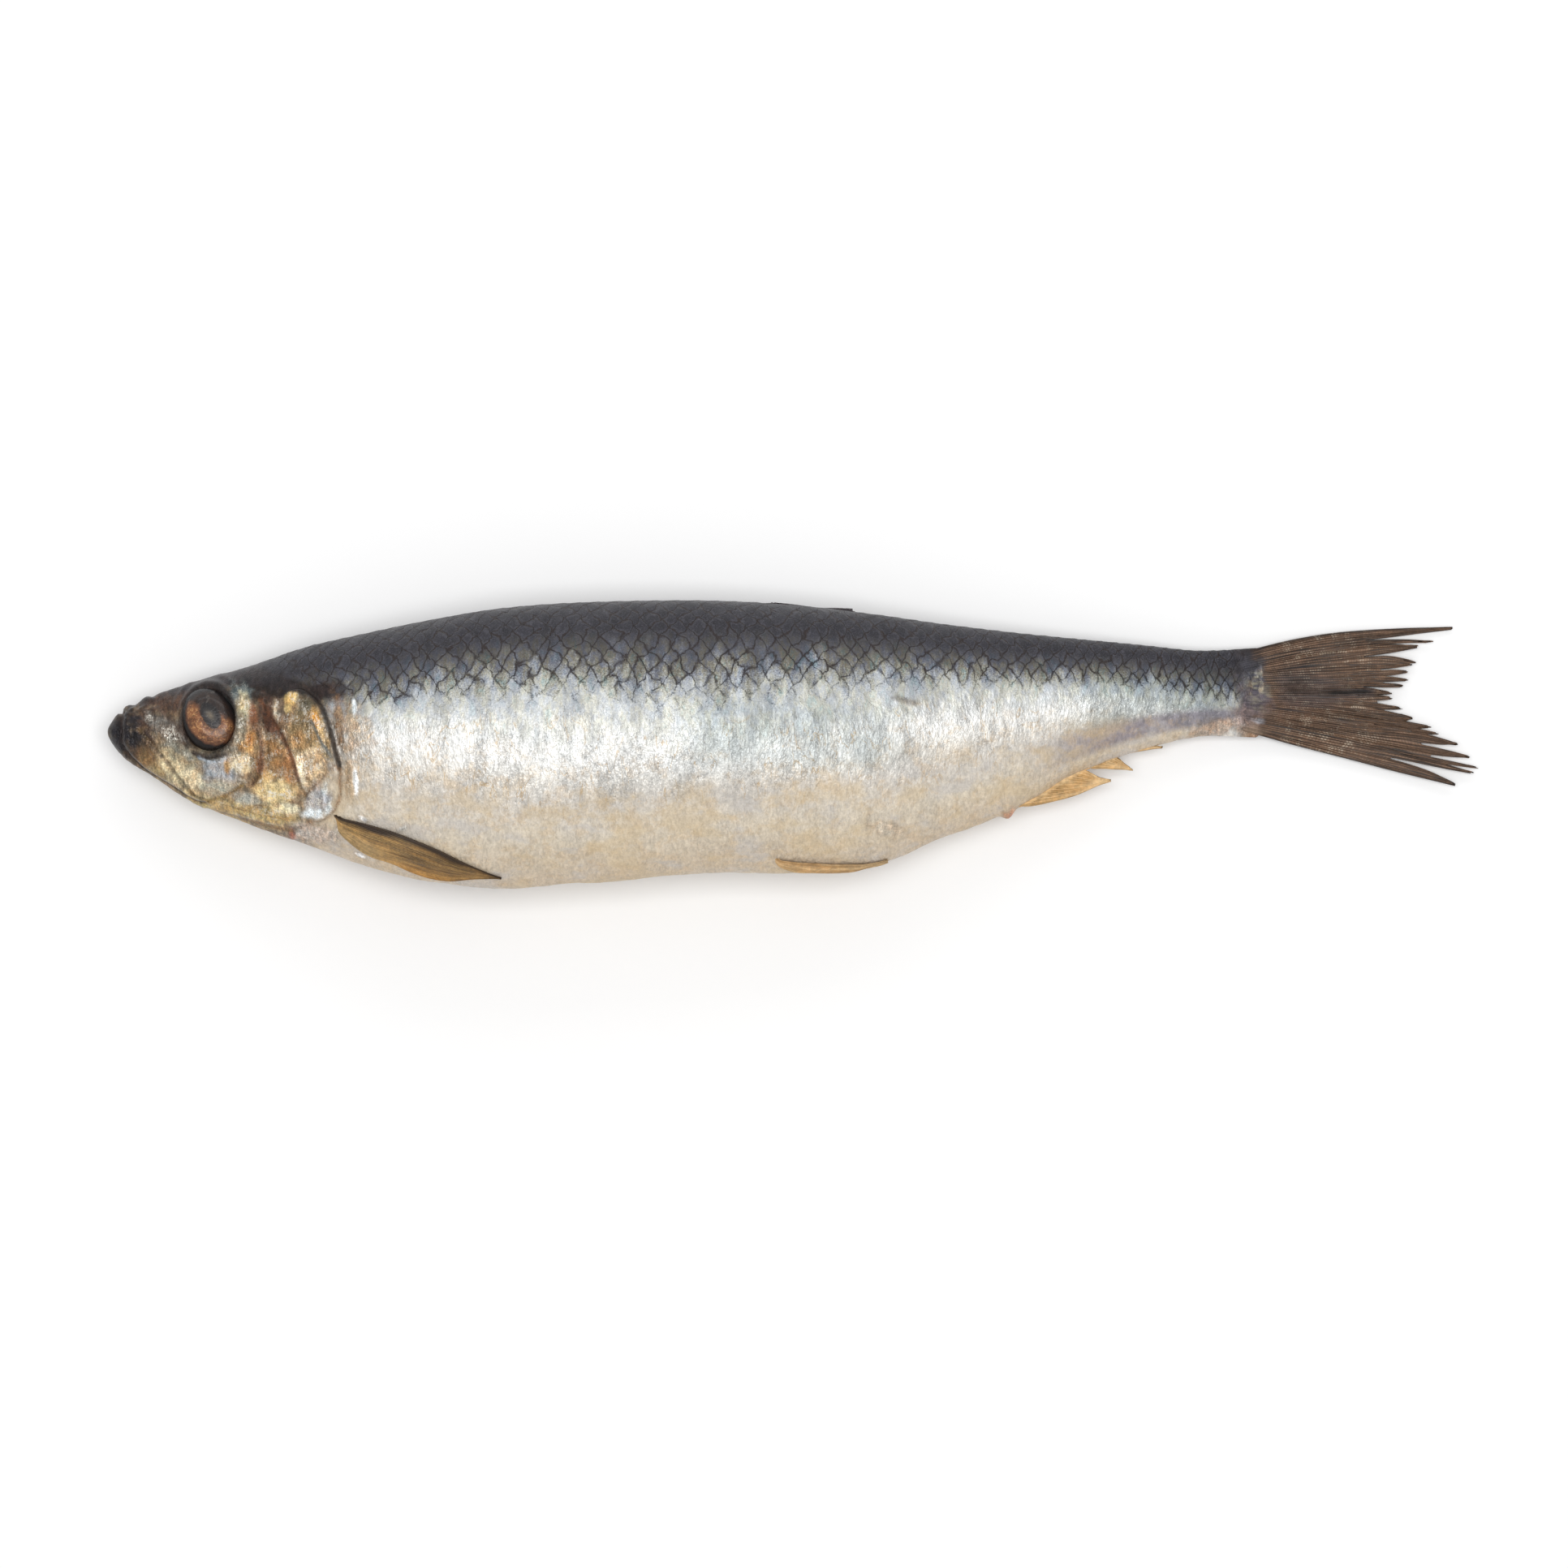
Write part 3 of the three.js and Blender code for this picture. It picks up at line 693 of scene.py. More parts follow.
def fin_material(name, base, deep, joints, branches, dark_edge, contrast=0.6):
    """A dried membrane on jointed rays, between its base colour and the deep one. dark_edge is how dark its
    leading rays are and contrast how much darker the membrane is than its rays."""
    material, g, shader = new_material(name)
    place = g.node("ShaderNodeTexCoord").outputs["Object"]
    spread = g.node("ShaderNodeUVMap", uv_map="Spread").outputs["UV"]
    painted = g.node("ShaderNodeAttribute", attribute_name="paint")
    rays = use_group(g, group("rays"), Spread=spread, Joints=joints, Branches=branches)
    grain = use_group(g, group("grain"), Place=place, Size=0.8 * MM, Contrast=1.4)
    base = tuple(base)
    pale = tuple(min(c * 2.0 + 0.03, 0.25 + 0.75 * c) for c in base)
    fin_colour = g.mix(rays["Bundle"], deep, base)
    fin_colour = g.mix(g.step(g.attribute("tip"), 0.45, 1.0, 0.0, 0.55), fin_colour, base)
    fin_colour = g.mix(g.times(rays["Ray"], 0.8 * contrast), fin_colour, pale)
    fin_colour = scaled(g, fin_colour, g.step(rays["Ray"], 0.0, 0.5, 1.0 - contrast, 1.05))
    fin_colour = g.mix(g.times(g.minus(1.0, rays["Joint"]), 0.22), fin_colour, deep)
    fin_colour = scaled(g, fin_colour, g.step(grain["Mottle"], 0.25, 0.75, 0.75, 1.25))
    fin_colour = g.mix(g.times(g.attribute("edge"), dark_edge), fin_colour, tint("2c1e15"))
    beads = g.times(g.times(rays["Joint"], g.step(rays["Ray"], 0.6, 0.9)), g.attribute("beads"))
    spots = g.step(g.noise(place, 420.0, detail=4.0, roughness=0.7), 0.5, 0.6)
    fin_colour = g.mix(g.times(g.times(beads, spots), 0.4), fin_colour, tint("cdbfaa"))
    own = scaled(g, painted.outputs["Color"], g.step(grain["Mottle"], 0.25, 0.75, 0.7, 1.3))
    fin_colour = g.mix(painted.outputs["Alpha"], fin_colour, own)
    g.put(shader.inputs["Base Color"], fin_colour)
    g.put(shader.inputs["Roughness"], g.step(grain["Mottle"], 0.2, 0.8, 0.38, 0.6))
    shader.inputs["Specular IOR Level"].default_value = 0.35
    shader.inputs["Coat Weight"].default_value = 0.08
    shader.inputs["Coat Roughness"].default_value = 0.3
    height = g.plus(rays["Height"], g.times(grain["Height"], 0.3))
    g.put(shader.inputs["Normal"], bump(g, height, 0.25 * contrast * MM, 0.9))
    return material


def eye_material():
    """A clouded eye: dark lens, lighter at its middle with a painted highlight, copper iris with gold flecks
    and a black rim, and painted shadow over its upper part. ring is 0 at its middle.
    """
    look = settings("eyes")
    material, g, shader = new_material("Herring eye")
    place = g.node("ShaderNodeTexCoord").outputs["Object"]
    grain = use_group(g, group("grain"), Place=place, Size=0.5 * MM, Contrast=1.3)
    ring = g.attribute("ring")
    wobble = g.times(g.minus(g.noise(place, 700.0, detail=3.0), 0.5), 0.16)
    ring = g.plus(ring, wobble)
    lens, iris = tuple(look.lens), tuple(look.iris)
    edge = look.pupil
    # the lens is lighter at its middle: a painted highlight
    eye_colour = g.ramp(ring, [
        (0.0, tint("6e6354")), (0.16, lens), (edge - 0.1, tint("242225")), (edge, tint("2b1f19")),
        (edge + 0.06, iris), (0.74, tint("8a5c3c")), (0.84, tint("5a3826")), (0.9, tint("17110f")),
        (1.0, tint("120e0d")),
    ])
    in_iris = g.times(g.step(ring, edge, edge + 0.08), g.step(ring, 0.86, 0.76))
    gold = g.step(g.noise(place, 1500.0, detail=4.0, roughness=0.75, distortion=0.8), 0.5, 0.6)
    # the gold flecks are kept out of the painted shadow over the upper eye
    gold = g.times(g.times(gold, in_iris), g.step(g.attribute("lid"), 0.6, 0.0))
    eye_colour = g.mix(g.times(gold, 0.7), eye_colour, tint("d2a06a"))
    brown = g.times(g.step(g.noise(place, 420.0, detail=4.0, roughness=0.7), 0.46, 0.56), in_iris)
    eye_colour = g.mix(g.times(brown, 0.75), eye_colour, tint("4b2d1d"))
    # painted shadow of the socket's rim over the upper part of the eye
    eye_colour = g.mix(g.times(g.attribute("lid"), 0.92), eye_colour, tint("1f1d1e"))
    smears = g.noise(g.stretch(place, (900.0, 300.0, 300.0)), 1.0, detail=3.0, roughness=0.6, distortion=0.6)
    eye_colour = g.mix(g.step(smears, 0.62, 0.74, 0.0, 0.16), eye_colour, tint("a39a90"))
    g.put(shader.inputs["Base Color"], eye_colour)
    g.put(shader.inputs["Roughness"], g.step(grain["Mottle"], 0.3, 0.7, 0.25, 0.45))
    shader.inputs["Specular IOR Level"].default_value = 0.4
    shader.inputs["Coat Weight"].default_value = 0.25
    shader.inputs["Coat Roughness"].default_value = 0.12
    g.put(shader.inputs["Normal"], bump(g, grain["Height"], 0.12 * MM, 0.8))
    return material


def floor_material():
    material, g, shader = new_material("Pale floor")
    place = g.node("ShaderNodeTexCoord").outputs["Object"]
    cloudy = g.noise(place, 6.0, detail=2.0)
    base = tuple(settings("stage").floor)
    g.put(shader.inputs["Base Color"], g.mix(g.step(cloudy, 0.3, 0.7, 0.0, 0.03), base, (0.8, 0.8, 0.8)))
    shader.inputs["Roughness"].default_value = 0.7
    shader.inputs["Specular IOR Level"].default_value = 0.2
    return material


# ---------------------------------------------------------------------------------------------------------
# Mesh helpers


def deselect():
    if bpy.context.object and bpy.context.object.mode != "OBJECT":
        bpy.ops.object.mode_set(mode="OBJECT")
    bpy.ops.object.select_all(action="DESELECT")


def added_grid(name, across, along):
    """A grid primitive, and each of its vertices' place on it as shares of its two sides."""
    deselect()
    bpy.ops.mesh.primitive_grid_add(x_subdivisions=across, y_subdivisions=along, size=1, calc_uvs=True)
    piece = bpy.context.object
    piece.name = piece.data.name = name
    flat = points_of(piece)
    return piece, flat[:, 0] + 0.5, flat[:, 1] + 0.5


def points_of(piece):
    co = np.empty(len(piece.data.vertices) * 3)
    piece.data.vertices.foreach_get("co", co)
    return co.reshape(-1, 3)


def put_points(piece, millimetres):
    piece.data.vertices.foreach_set("co", (millimetres * MM).astype(np.float32).ravel())
    piece.data.update()


def put_uv(piece, name, u, v):
    """Names the piece's UV map and gives each corner its vertex's place."""
    layer = piece.data.uv_layers[0]
    layer.name = name
    corners = np.empty(len(piece.data.loops), int)
    piece.data.loops.foreach_get("vertex_index", corners)
    layer.uv.foreach_set("vector", np.stack([u[corners], v[corners]], -1).astype(np.float32).ravel())


def point_attribute(piece, name, kind):
    """The piece's point attribute of this name, made when it is first asked for."""
    attributes = piece.data.attributes
    return attributes[name] if name in attributes else attributes.new(name, kind, "POINT")


def put_values(piece, name, values):
    point_attribute(piece, name, "FLOAT").data.foreach_set("value", np.asarray(values, np.float32))


def put_colours(piece, name, colours):
    attribute = point_attribute(piece, name, "FLOAT_COLOR")
    attribute.data.foreach_set("color", np.asarray(colours, np.float32).ravel())


def select_only(piece):
    deselect()
    piece.select_set(True)
    bpy.context.view_layer.objects.active = piece


def edit_all(piece, *operations):
    """Runs edit-mode operators on the whole piece."""
    select_only(piece)
    bpy.ops.object.mode_set(mode="EDIT")
    bpy.ops.mesh.select_all(action="SELECT")
    for operation in operations:
        operation()
    bpy.ops.object.mode_set(mode="OBJECT")


def merge_close(distance=0.0005 * MM):
    return lambda: bpy.ops.mesh.remove_doubles(threshold=distance)


def face_out():
    bpy.ops.mesh.normals_make_consistent(inside=False)


def apply_modifier(piece, kind, **values):
    select_only(piece)
    modifier = piece.modifiers.new(kind.title(), kind)
    for name, value in values.items():
        setattr(modifier, name, value)
    bpy.ops.object.modifier_apply(modifier=modifier.name)


def finish_piece(piece, node, material):
    select_only(piece)
    bpy.ops.object.shade_smooth()
    piece.data.materials.clear()
    piece.data.materials.append(material)
    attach(piece, "root")
    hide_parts(node)
    return piece


# ---------------------------------------------------------------------------------------------------------
# The body

EYE = (-131.2, 5.0)
GILL_EDGE = [
    (-115.5, 10.6), (-111, 12.2), (-107.6, 10.5), (-105.2, 7.6), (-103.6, 3.2), (-102.4, -1.2),
    (-101.2, -6.0), (-101.2, -11), (-102.4, -14.5), (-105.3, -17.3), (-109, -17.8),
]
OPERCULUM_FRONT = [(-119.6, 9.3), (-116.8, 5.3), (-114.5, 1.3), (-112.5, -2.7), (-110.9, -8.3), (-109.4, -12)]
FLAP_LINE = [(-109.4, -12), (-106.9, -9.5), (-104.5, -7.1), (-102.2, -4.9)]
PREOPERCLE = [(-119.6, 8.9), (-119.8, 3.3), (-119.2, -1.1), (-119.6, -6.7), (-121.2, -9.3)]
UPPER_JAW = [(-147.5, 3.3), (-144.7, -0.3), (-141.1, -4.3), (-138.7, -7.5), (-135.2, -11.4), (-132.6, -12.6)]
MOUTH = [(-151.4, 7.0), (-151.6, 3.3), (-151.1, -0.9), (-147.5, -5.1), (-143.5, -7.9), (-139.1, -10.4),
         (-135.2, -12.6), (-132.4, -13.6)]
CHEEK_EDGE = [(-132.4, -13.2), (-128.8, -12.4), (-126.4, -11.4), (-123.6, -9.5)]
THROAT = [(-132, -15.5), (-124, -17.6), (-116, -19.4), (-110, -19.5)]
VENT = (49.6, -15.6)

# Painted marks, laid over each other in this order. A patch is (middle, (half length, half height, turn in
# degrees), colour, strength, share of painted glints, gloss) and a stroke is (line, half width, colour,
# strength). Some marks are painted highlights and painted shade.
GROUND_PATCHES = [
    ((-127, -6), (11, 8, 0), "948c7c", 1.0, 0.2, 0.4),
    ((-118, -4), (9, 12, 0), "8c7354", 1.0, 0.3, 0.3),
    ((-107.5, -1), (7, 13, 0), "9c845f", 1.0, 0.5, 0.3),
    ((-139, -4.5), (10, 6.5, -38), "a3967a", 1.0, 0, 0.6),
    ((-147, -1.2), (5.5, 4.4, -44), "4f3e2e", 0.95, 0, 0.6),
    ((-143, -5.6), (4.5, 2.4, -42), "8c7a56", 0.9, 0, 0.6),
    ((-141.2, 3.2), (6.8, 3.4, -38), "57504a", 0.95, 0.15, 0.9),
    ((-121.5, -15.8), (13, 2.8, -12), "b49c66", 0.95, 0.4, 0.6),
    ((-131, -15.6), (10, 2.4, -22), "a48c54", 0.9, 0, 0.6),
    ((-107.5, -20.6), (6.5, 2.8, -12), "b9afa6", 0.95, 0.2, 0.6),
]
DARK_PATCHES = [
    ((-140, 12.6), (20, 5.2, 14), "2a2528", 1.0, 0, 0.3),
    ((-121, 12.6), (13, 3.6, 14), "211c1e", 1.0, 0, 0.2),
    ((-105.5, 11.4), (7.0, 3.2, 0), "261d1c", 1.0, 0, 0.2),
    ((-119, 10.6), (6, 2.6, -10), "21160f", 0.95, 0, 0.3),
    ((-140.6, 8.6), (6.2, 3.0, 14), "46342a", 0.9, 0, 0.3),
    ((-146.4, 5.4), (3.4, 3.8, 20), "3a2b25", 0.9, 0, 0.5),
    ((-151.5, 2.5), (5.2, 6.5, -10), "1f1d21", 1.0, 0, 0.9),
    ((-136.6, 2.0), (2.4, 5.0, -16), "3d2c22", 0.75, 0.1, 0.5),
]
SNOUT_PATCHES = [
    ((-141.8, 3.4), (5.8, 1.8, -38), "77726b", 0.9, 0.9, 1.0),
    ((-137.4, -1.8), (4.2, 1.4, -32), "8d8b7e", 0.9, 0.5, 0.8),
    ((-139.3, -6.2), (5.6, 2.2, -40), "c6ba98", 0.85, 0, 0.8),
    ((-135.0, -8.2), (3.2, 2.8, -20), "cfc3a4", 0.9, 0, 0.8),
    ((-133.8, -12.2), (4.6, 1.6, -26), "c4b084", 0.9, 0, 0.6),
    ((-145.3, -3.4), (3.0, 2.2, -40), "735a3a", 0.85, 0, 0.6),
]
CHEEK_PATCHES = [
    ((-128.9, -6.2), (5.2, 3.4, -8), "9a9ea4", 0.95, 0.35, 0.6),
    ((-131.6, -7.4), (1.5, 3.4, 12), "83898e", 0.8, 0.1, 0.6),
    ((-127.3, -5.4), (1.1, 1.7, 0), "b0823e", 0.8, 0.2, 0.4),
    ((-129.6, -10.0), (4.2, 1.8, 0), "aeaa98", 0.85, 0, 0.5),
    ((-123.6, -4.6), (2.8, 2.8, 0), "d6c6a2", 0.85, 0.8, 0.4),
    ((-124.6, 9.6), (3.4, 4.4, 10), "545f60", 0.9, 0.25, 0.8),
    ((-123.3, 8.2), (1.7, 3.2, 12), "cfc39c", 0.85, 0.8, 0.8),
    ((-124.2, 2.6), (1.8, 4.4, 8), "8e8a7a", 0.8, 0.6, 0.8),
    ((-123.0, -0.8), (2.2, 1.7, 0), "b9905a", 0.8, 0.5, 0.4),
    ((-121.2, 5.9), (1.3, 3.6, 4), "7d5036", 0.9, 0.2, 0.4),
    ((-121.6, 1.0), (1.3, 1.8, 0), "b07b44", 0.9, 0.2, 0.4),
    ((-117.6, 5.0), (2.1, 5.6, 14), "452a1d", 0.95, 0.1, 0.3),
    ((-119.6, -5.6), (1.0, 3.6, -4), "855431", 0.85, 0.1, 0.3),
    ((-116.3, -2.8), (2.0, 4.6, 16), "83603a", 0.9, 0.3, 0.3),
    ((-118.2, -8.2), (2.6, 2.0, 0), "c4a26c", 0.9, 0.8, 0.5),
    # painted highlight on the lower cheek
    ((-116.2, -11.2), (5.2, 3.9, 0), "d9c796", 0.95, 1.0, 0.6),
    ((-113.4, -14.8), (3.2, 1.5, -8), "e2dabc", 0.85, 0.8, 0.6),
    ((-122.4, -12.8), (3.8, 1.6, -10), "a8aca6", 0.7, 0.5, 0.6),
    ((-112.8, -20.6), (0.9, 1.5, 0), "96583e", 0.9, 0, 0.6),
]
GILL_COVER_PATCHES = [
    ((-114.6, 6.6), (1.9, 4.4, 10), "695848", 0.9, 0.6, 0.4),
    ((-115.8, 6.8), (0.5, 2.6, 8), "c9bca4", 0.7, 0.6, 0.4),
    ((-112.4, 10.0), (1.7, 1.4, 0), "d9bb7a", 0.95, 0.9, 0.5),
    ((-113.2, 7.8), (1.0, 1.5, 0), "d8bd80", 0.8, 0.9, 0.5),
    ((-109.0, 8.4), (2.1, 2.2, 0), "4b4a3e", 0.95, 0.4, 0.5),
    ((-109.2, 4.0), (2.6, 3.4, 20), "7d6c50", 0.95, 0.5, 0.5),
    ((-110.8, 0.4), (1.8, 3.2, 16), "9a7c54", 0.85, 0.4, 0.4),
    ((-106.6, 5.2), (1.1, 2.4, 16), "cf9646", 0.95, 0.8, 0.5),
    ((-105.3, 2.2), (0.75, 2.0, 16), "e8c890", 0.9, 0.8, 0.5),
    # cream lower operculum, partly a painted highlight
    ((-107.8, -5.2), (4.0, 4.2, 20), "d6bf9c", 0.95, 0.8, 0.4),
    ((-113.2, -6.0), (1.7, 4.4, 14), "946a42", 0.9, 0.2, 0.4),
    # painted highlights on the operculum
    ((-109.9, -7.6), (1.0, 3.8, 18), "f4e4c8", 0.95, 0.5, 0.6),
    ((-106.4, -6.4), (0.7, 2.6, -35), "ecd6b0", 0.8, 0.7, 0.6),
    ((-105.8, -12.4), (3.6, 4.4, -20), "abacb0", 0.95, 0.7, 0.6),
    # painted highlights on the subopercle
    ((-107.4, -15.8), (3.1, 1.2, 5), "dfe7ea", 0.95, 0.7, 0.9),
    ((-104.4, -9.8), (1.2, 2.0, -10), "c8d0d0", 0.85, 0.7, 0.8),
    ((-103.6, -14.4), (0.8, 1.6, -20), "e8f2f6", 0.9, 0.7, 0.9),
]
SHOULDER_PATCHES = [
    ((-101.6, 3.8), (1.9, 7.6, 8), "7a6048", 0.95, 0.4, 0.4),
    ((-98.4, 3.2), (3.2, 6.6, 5), "a68c6c", 0.75, 0.7, 0.4),
    ((-95.2, 1.6), (2.0, 5.6, 5), "b09878", 0.5, 0.4, 0.4),
    ((-98.8, -7.6), (2.0, 6.4, 4), "b79c78", 0.8, 0.5, 0.5),
    # white painted highlights behind the gill cover, this one and the five after it
    ((-97.7, -9.2), (0.8, 3.8, 4), "f4f8fa", 0.95, 0.4, 0.9),
    ((-98.0, 8.2), (0.7, 2.3, 5), "e2ecf2", 0.9, 0.3, 0.9),
    ((-96.6, 5.0), (0.4, 2.6, 12), "e6e4dc", 0.8, 0.3, 0.9),
    ((-96.4, -17.0), (2.2, 0.8, -30), "f4f6f6", 0.9, 0.5, 0.9),
    ((-87.2, -19.2), (1.6, 0.8, 30), "eef0ee", 0.7, 0.5, 0.8),
    ((-97.4, -25.4), (1.6, 0.5, -25), "fbfbfb", 0.95, 0.2, 1.0),
    ((-101.4, -19.4), (2.0, 1.2, -20), "b9b6b0", 0.8, 0.4, 0.6),
]
BODY_PATCHES = [
    ((26, 9.6), (3.6, 0.9, -12), "4c4744", 0.6, 0, 0.2),
    ((22, -19.6), (4.8, 2.2, -18), "dcd0bd", 0.6, 0, 0.3),
    ((17.6, -17.4), (0.7, 3.0, -8), "a29384", 0.5, 0, 0.3),
    ((97, 3.4), (8, 1.9, 12), "b29a86", 0.85, 0.3, 0.4),
    (VENT, (2.2, 1.6, 30), "c08a66", 0.8, 0, 0.7),
    ((50.1, -15.6), (0.8, 1.5, 0), "b0663f", 0.9, 0, 0.7),
]
HEAD_STROKES = [
    # painted shadow along the gill cover's rear edge
    (GILL_EDGE[:7], 0.6, "1f1612", 0.95),
    (GILL_EDGE[6:], 0.35, "8b6d50", 0.8),
    (OPERCULUM_FRONT[:5], 0.6, "5c3a26", 0.85),
    ([(-107.4, 4.6), (-105.6, 0.8), (-103.2, -2.8)], 0.4, "44555a", 0.8),
    (FLAP_LINE, 0.35, "7e6446", 0.8),
    (PREOPERCLE, 0.45, "4a3324", 0.8),
    (MOUTH, 0.4, "241a17", 0.9),
    (UPPER_JAW, 0.35, "4a3b26", 0.7),
    (CHEEK_EDGE, 0.4, "7c6438", 0.8),
    ([(-130, -15.6), (-120, -18.6), (-112.6, -20.2)], 0.3, "6e5330", 0.7),
    ([(-128, -14.0), (-119, -16.4), (-112, -17.6)], 0.25, "84683c", 0.6),
    # painted shade in the crease under the eye, then a pale blue painted highlight below it
    ([(-135.0, -2.2), (-131.4, -3.4), (-127.6, -2.6)], 0.45, "2b2320", 0.9),
    ([(-133.4, -3.3), (-130.6, -4.3), (-127.4, -3.6)], 0.35, "a9b4be", 0.8),
]
# The stalk's end from the belly side to the back
STALK_COLOURS = ("8c7662", "8a756a", "665c62", "55525a", "44434b", "302b2d")
PATCHES = (
    GROUND_PATCHES + DARK_PATCHES + SNOUT_PATCHES + CHEEK_PATCHES + GILL_COVER_PATCHES
    + SHOULDER_PATCHES + BODY_PATCHES
)


def stalk_paint(x, y):
    """The colours of the tail's root, which the stalk's skin and the fin share where they meet."""
    share = (y - belly(105)) / (back(105) - belly(105)) + 0.06 * lattice_noise(x / 2, y / 1.5, 37)
    at = [0, 0.16, 0.34, 0.55, 0.75, 1.0]
    shade = np.stack([np.interp(share, at, [tint(code)[k] for code in STALK_COLOURS]) for k in range(3)], -1)
    speckle = lattice_noise(x / 0.8, y / 0.5, 38) + 0.8 * lattice_noise(x / 2.5, y / 1.5, 39)
    patch = patch_mask(x, y, (107.2, 12.4), (3.8, 5.4, 8)) * smoothstep(-0.7, 0.9, speckle)
    shade = lerp(shade, np.array(tint("a29b86")), 0.8 * patch[:, None])
    light = patch_mask(x, y, (107.2, 5.0), (2.0, 0.7, -6))
    return lerp(shade, np.array(tint("b9bcc6")), 0.7 * light[:, None])


def eye_distance(x, y):
    """1 on the rim of the eye's socket, which is taller than it is wide."""
    return np.hypot((x - EYE[0]) / 6.1, (y - EYE[1]) / 7.4)


def patch_mask(x, y, middle, size):
    length, height, turn = size
    a = math.radians(turn)
    dx, dy = x - middle[0], y - middle[1]
    u = (dx * math.cos(a) + dy * math.sin(a)) / length
    v = (dy * math.cos(a) - dx * math.sin(a)) / height
    ragged = 0.24 * lattice_noise(x * 0.6, y * 0.6, 3) + 0.2 * lattice_noise(x * 1.4, y * 1.4, 4)
    return smoothstep(1.25, 0.4, np.hypot(u, v) + ragged)


def paint_body(x, y):
    """Colour, cover, painted glints and gloss of the painted marks at each point. The marks include painted
    highlights and painted shade.
    """
    crown = smoothstep(-1.2, 0.8, y - np.interp(x, [-152, -138, -124, -116, -100], [9, 12, 13, 10.5, 10]))
    shade = lerp(np.array(tint("7d6c56")), np.array(tint("2c282b")), crown[:, None])
    cover = np.zeros(len(x))
    flecks, gloss = np.zeros(len(x)), np.zeros(len(x))
    for where, size, code, strength, glint_share, shine in PATCHES:
        mask = patch_mask(x, y, where, size) * strength
        shade = lerp(shade, np.array(tint(code)), mask[:, None])
        cover = np.maximum(cover, mask)
        flecks, gloss = lerp(flecks, glint_share, mask), lerp(gloss, shine, mask)
    for line, width, code, strength in HEAD_STROKES:
        away = nearest(x, y, line)[0] + 0.15 * lattice_noise(x * 1.1, y * 1.1, 5)
        mask = smoothstep(width * 1.6, width * 0.4, away) * strength
        shade = lerp(shade, np.array(tint(code)), mask[:, None])
        cover, flecks = np.maximum(cover, mask), lerp(flecks, 0, mask)
    # painted shadow in the rim of the sunken eye's socket, darkest above the eye
    ring = bell(eye_distance(x, y) - 1.02, 0.13) * (0.75 + 0.25 * smoothstep(2, 9, y - 0.3 * (x - EYE[0])))
    shade = lerp(shade, np.array(tint("241e1d")), ring[:, None])
    flecks = flecks * (1 - ring)
    head = smoothstep(-100.5, -105, x + 0.2 * np.abs(y - 2) + 14 * smoothstep(11, 18, y))
    cover = np.maximum(cover, head)
    stalk = smoothstep(99, 104.5, x + 1.2 * lattice_noise(x / 1.4, y / 1.1, 40))
    shade, cover = lerp(shade, stalk_paint(x, y), stalk[:, None]), np.maximum(cover, stalk)
    return np.column_stack([shade, cover]), flecks, gloss


def scale_along(u, v):
    """0 at a scale's front to 1 at its rear edge, at a place counted in scales."""
    u = u + 0.12 * lattice_noise(u * 0.8, v * 0.8, 11)
    v = v + 0.12 * lattice_noise(u * 0.8, v * 0.8, 12)
    column = np.floor(2 * u)
    past = u - column / 2
    level = v - 0.5 * (column % 2)
    up = level - np.round(level)
    edge = SCALE_REACH * (1 - np.abs(2 * up) ** SCALE_POINT)
    return np.where(past < edge, past + 0.5, past)


def head_relief(x, y):
    """How far the bones and folds of the head stand out of the bare skin."""
    look = settings("skin")
    raised = look.gill_relief / MM
    away, side, along = nearest(x, y, GILL_EDGE)
    ends = smoothstep(0, 0.12, along) * smoothstep(1, 0.9, along)
    outside = smoothstep(-0.5, 0.4, away * side)
    out = (raised * bell(away, 7.0) * (1 - outside) - 0.5 * bell(away - 0.5, 1.1) * outside) * ends
    away, side, _ = nearest(x, y, OPERCULUM_FRONT)
    out += 0.45 * bell(away - 0.9, 1.0) * (side > 0) - 0.35 * bell(away, 0.7)
    out -= 0.3 * bell(nearest(x, y, FLAP_LINE)[0], 0.6)
    away, side, _ = nearest(x, y, PREOPERCLE)
    out += 0.3 * bell(away, 1.6) - 0.3 * bell(away - 0.8, 0.7) * (side > 0)
    away, side, _ = nearest(x, y, MOUTH)
    out += np.where(side > 0, 0.55 * bell(away, 2.2), 0) - 0.75 * bell(away, 0.55)
    away, side, _ = nearest(x, y, UPPER_JAW)
    out += 0.35 * bell(away - 0.7, 1.0) * (side < 0) - 0.25 * bell(away, 0.5)
    out -= 0.3 * bell(nearest(x, y, CHEEK_EDGE)[0], 0.7)
    out -= 0.4 * bell(nearest(x, y, THROAT)[0], 0.9)
    ring = eye_distance(x, y)
    out += 0.7 * bell(ring - 1.12, 0.13) - 3.6 * smoothstep(1.0, 0.8, ring)
    out += 0.25 * bell(ring - 1.42, 0.08)
    snout = smoothstep(-138, -149, x) * smoothstep(3, 8, y)
    out += snout * (0.5 * lattice_noise(x * 0.45, y * 0.8, 21) + 0.25 * lattice_noise(x, y * 1.4, 22))
    out += 0.06 * lattice_noise(x * 1.3, y * 1.1, 23) * smoothstep(-100, -108, x)
    return out


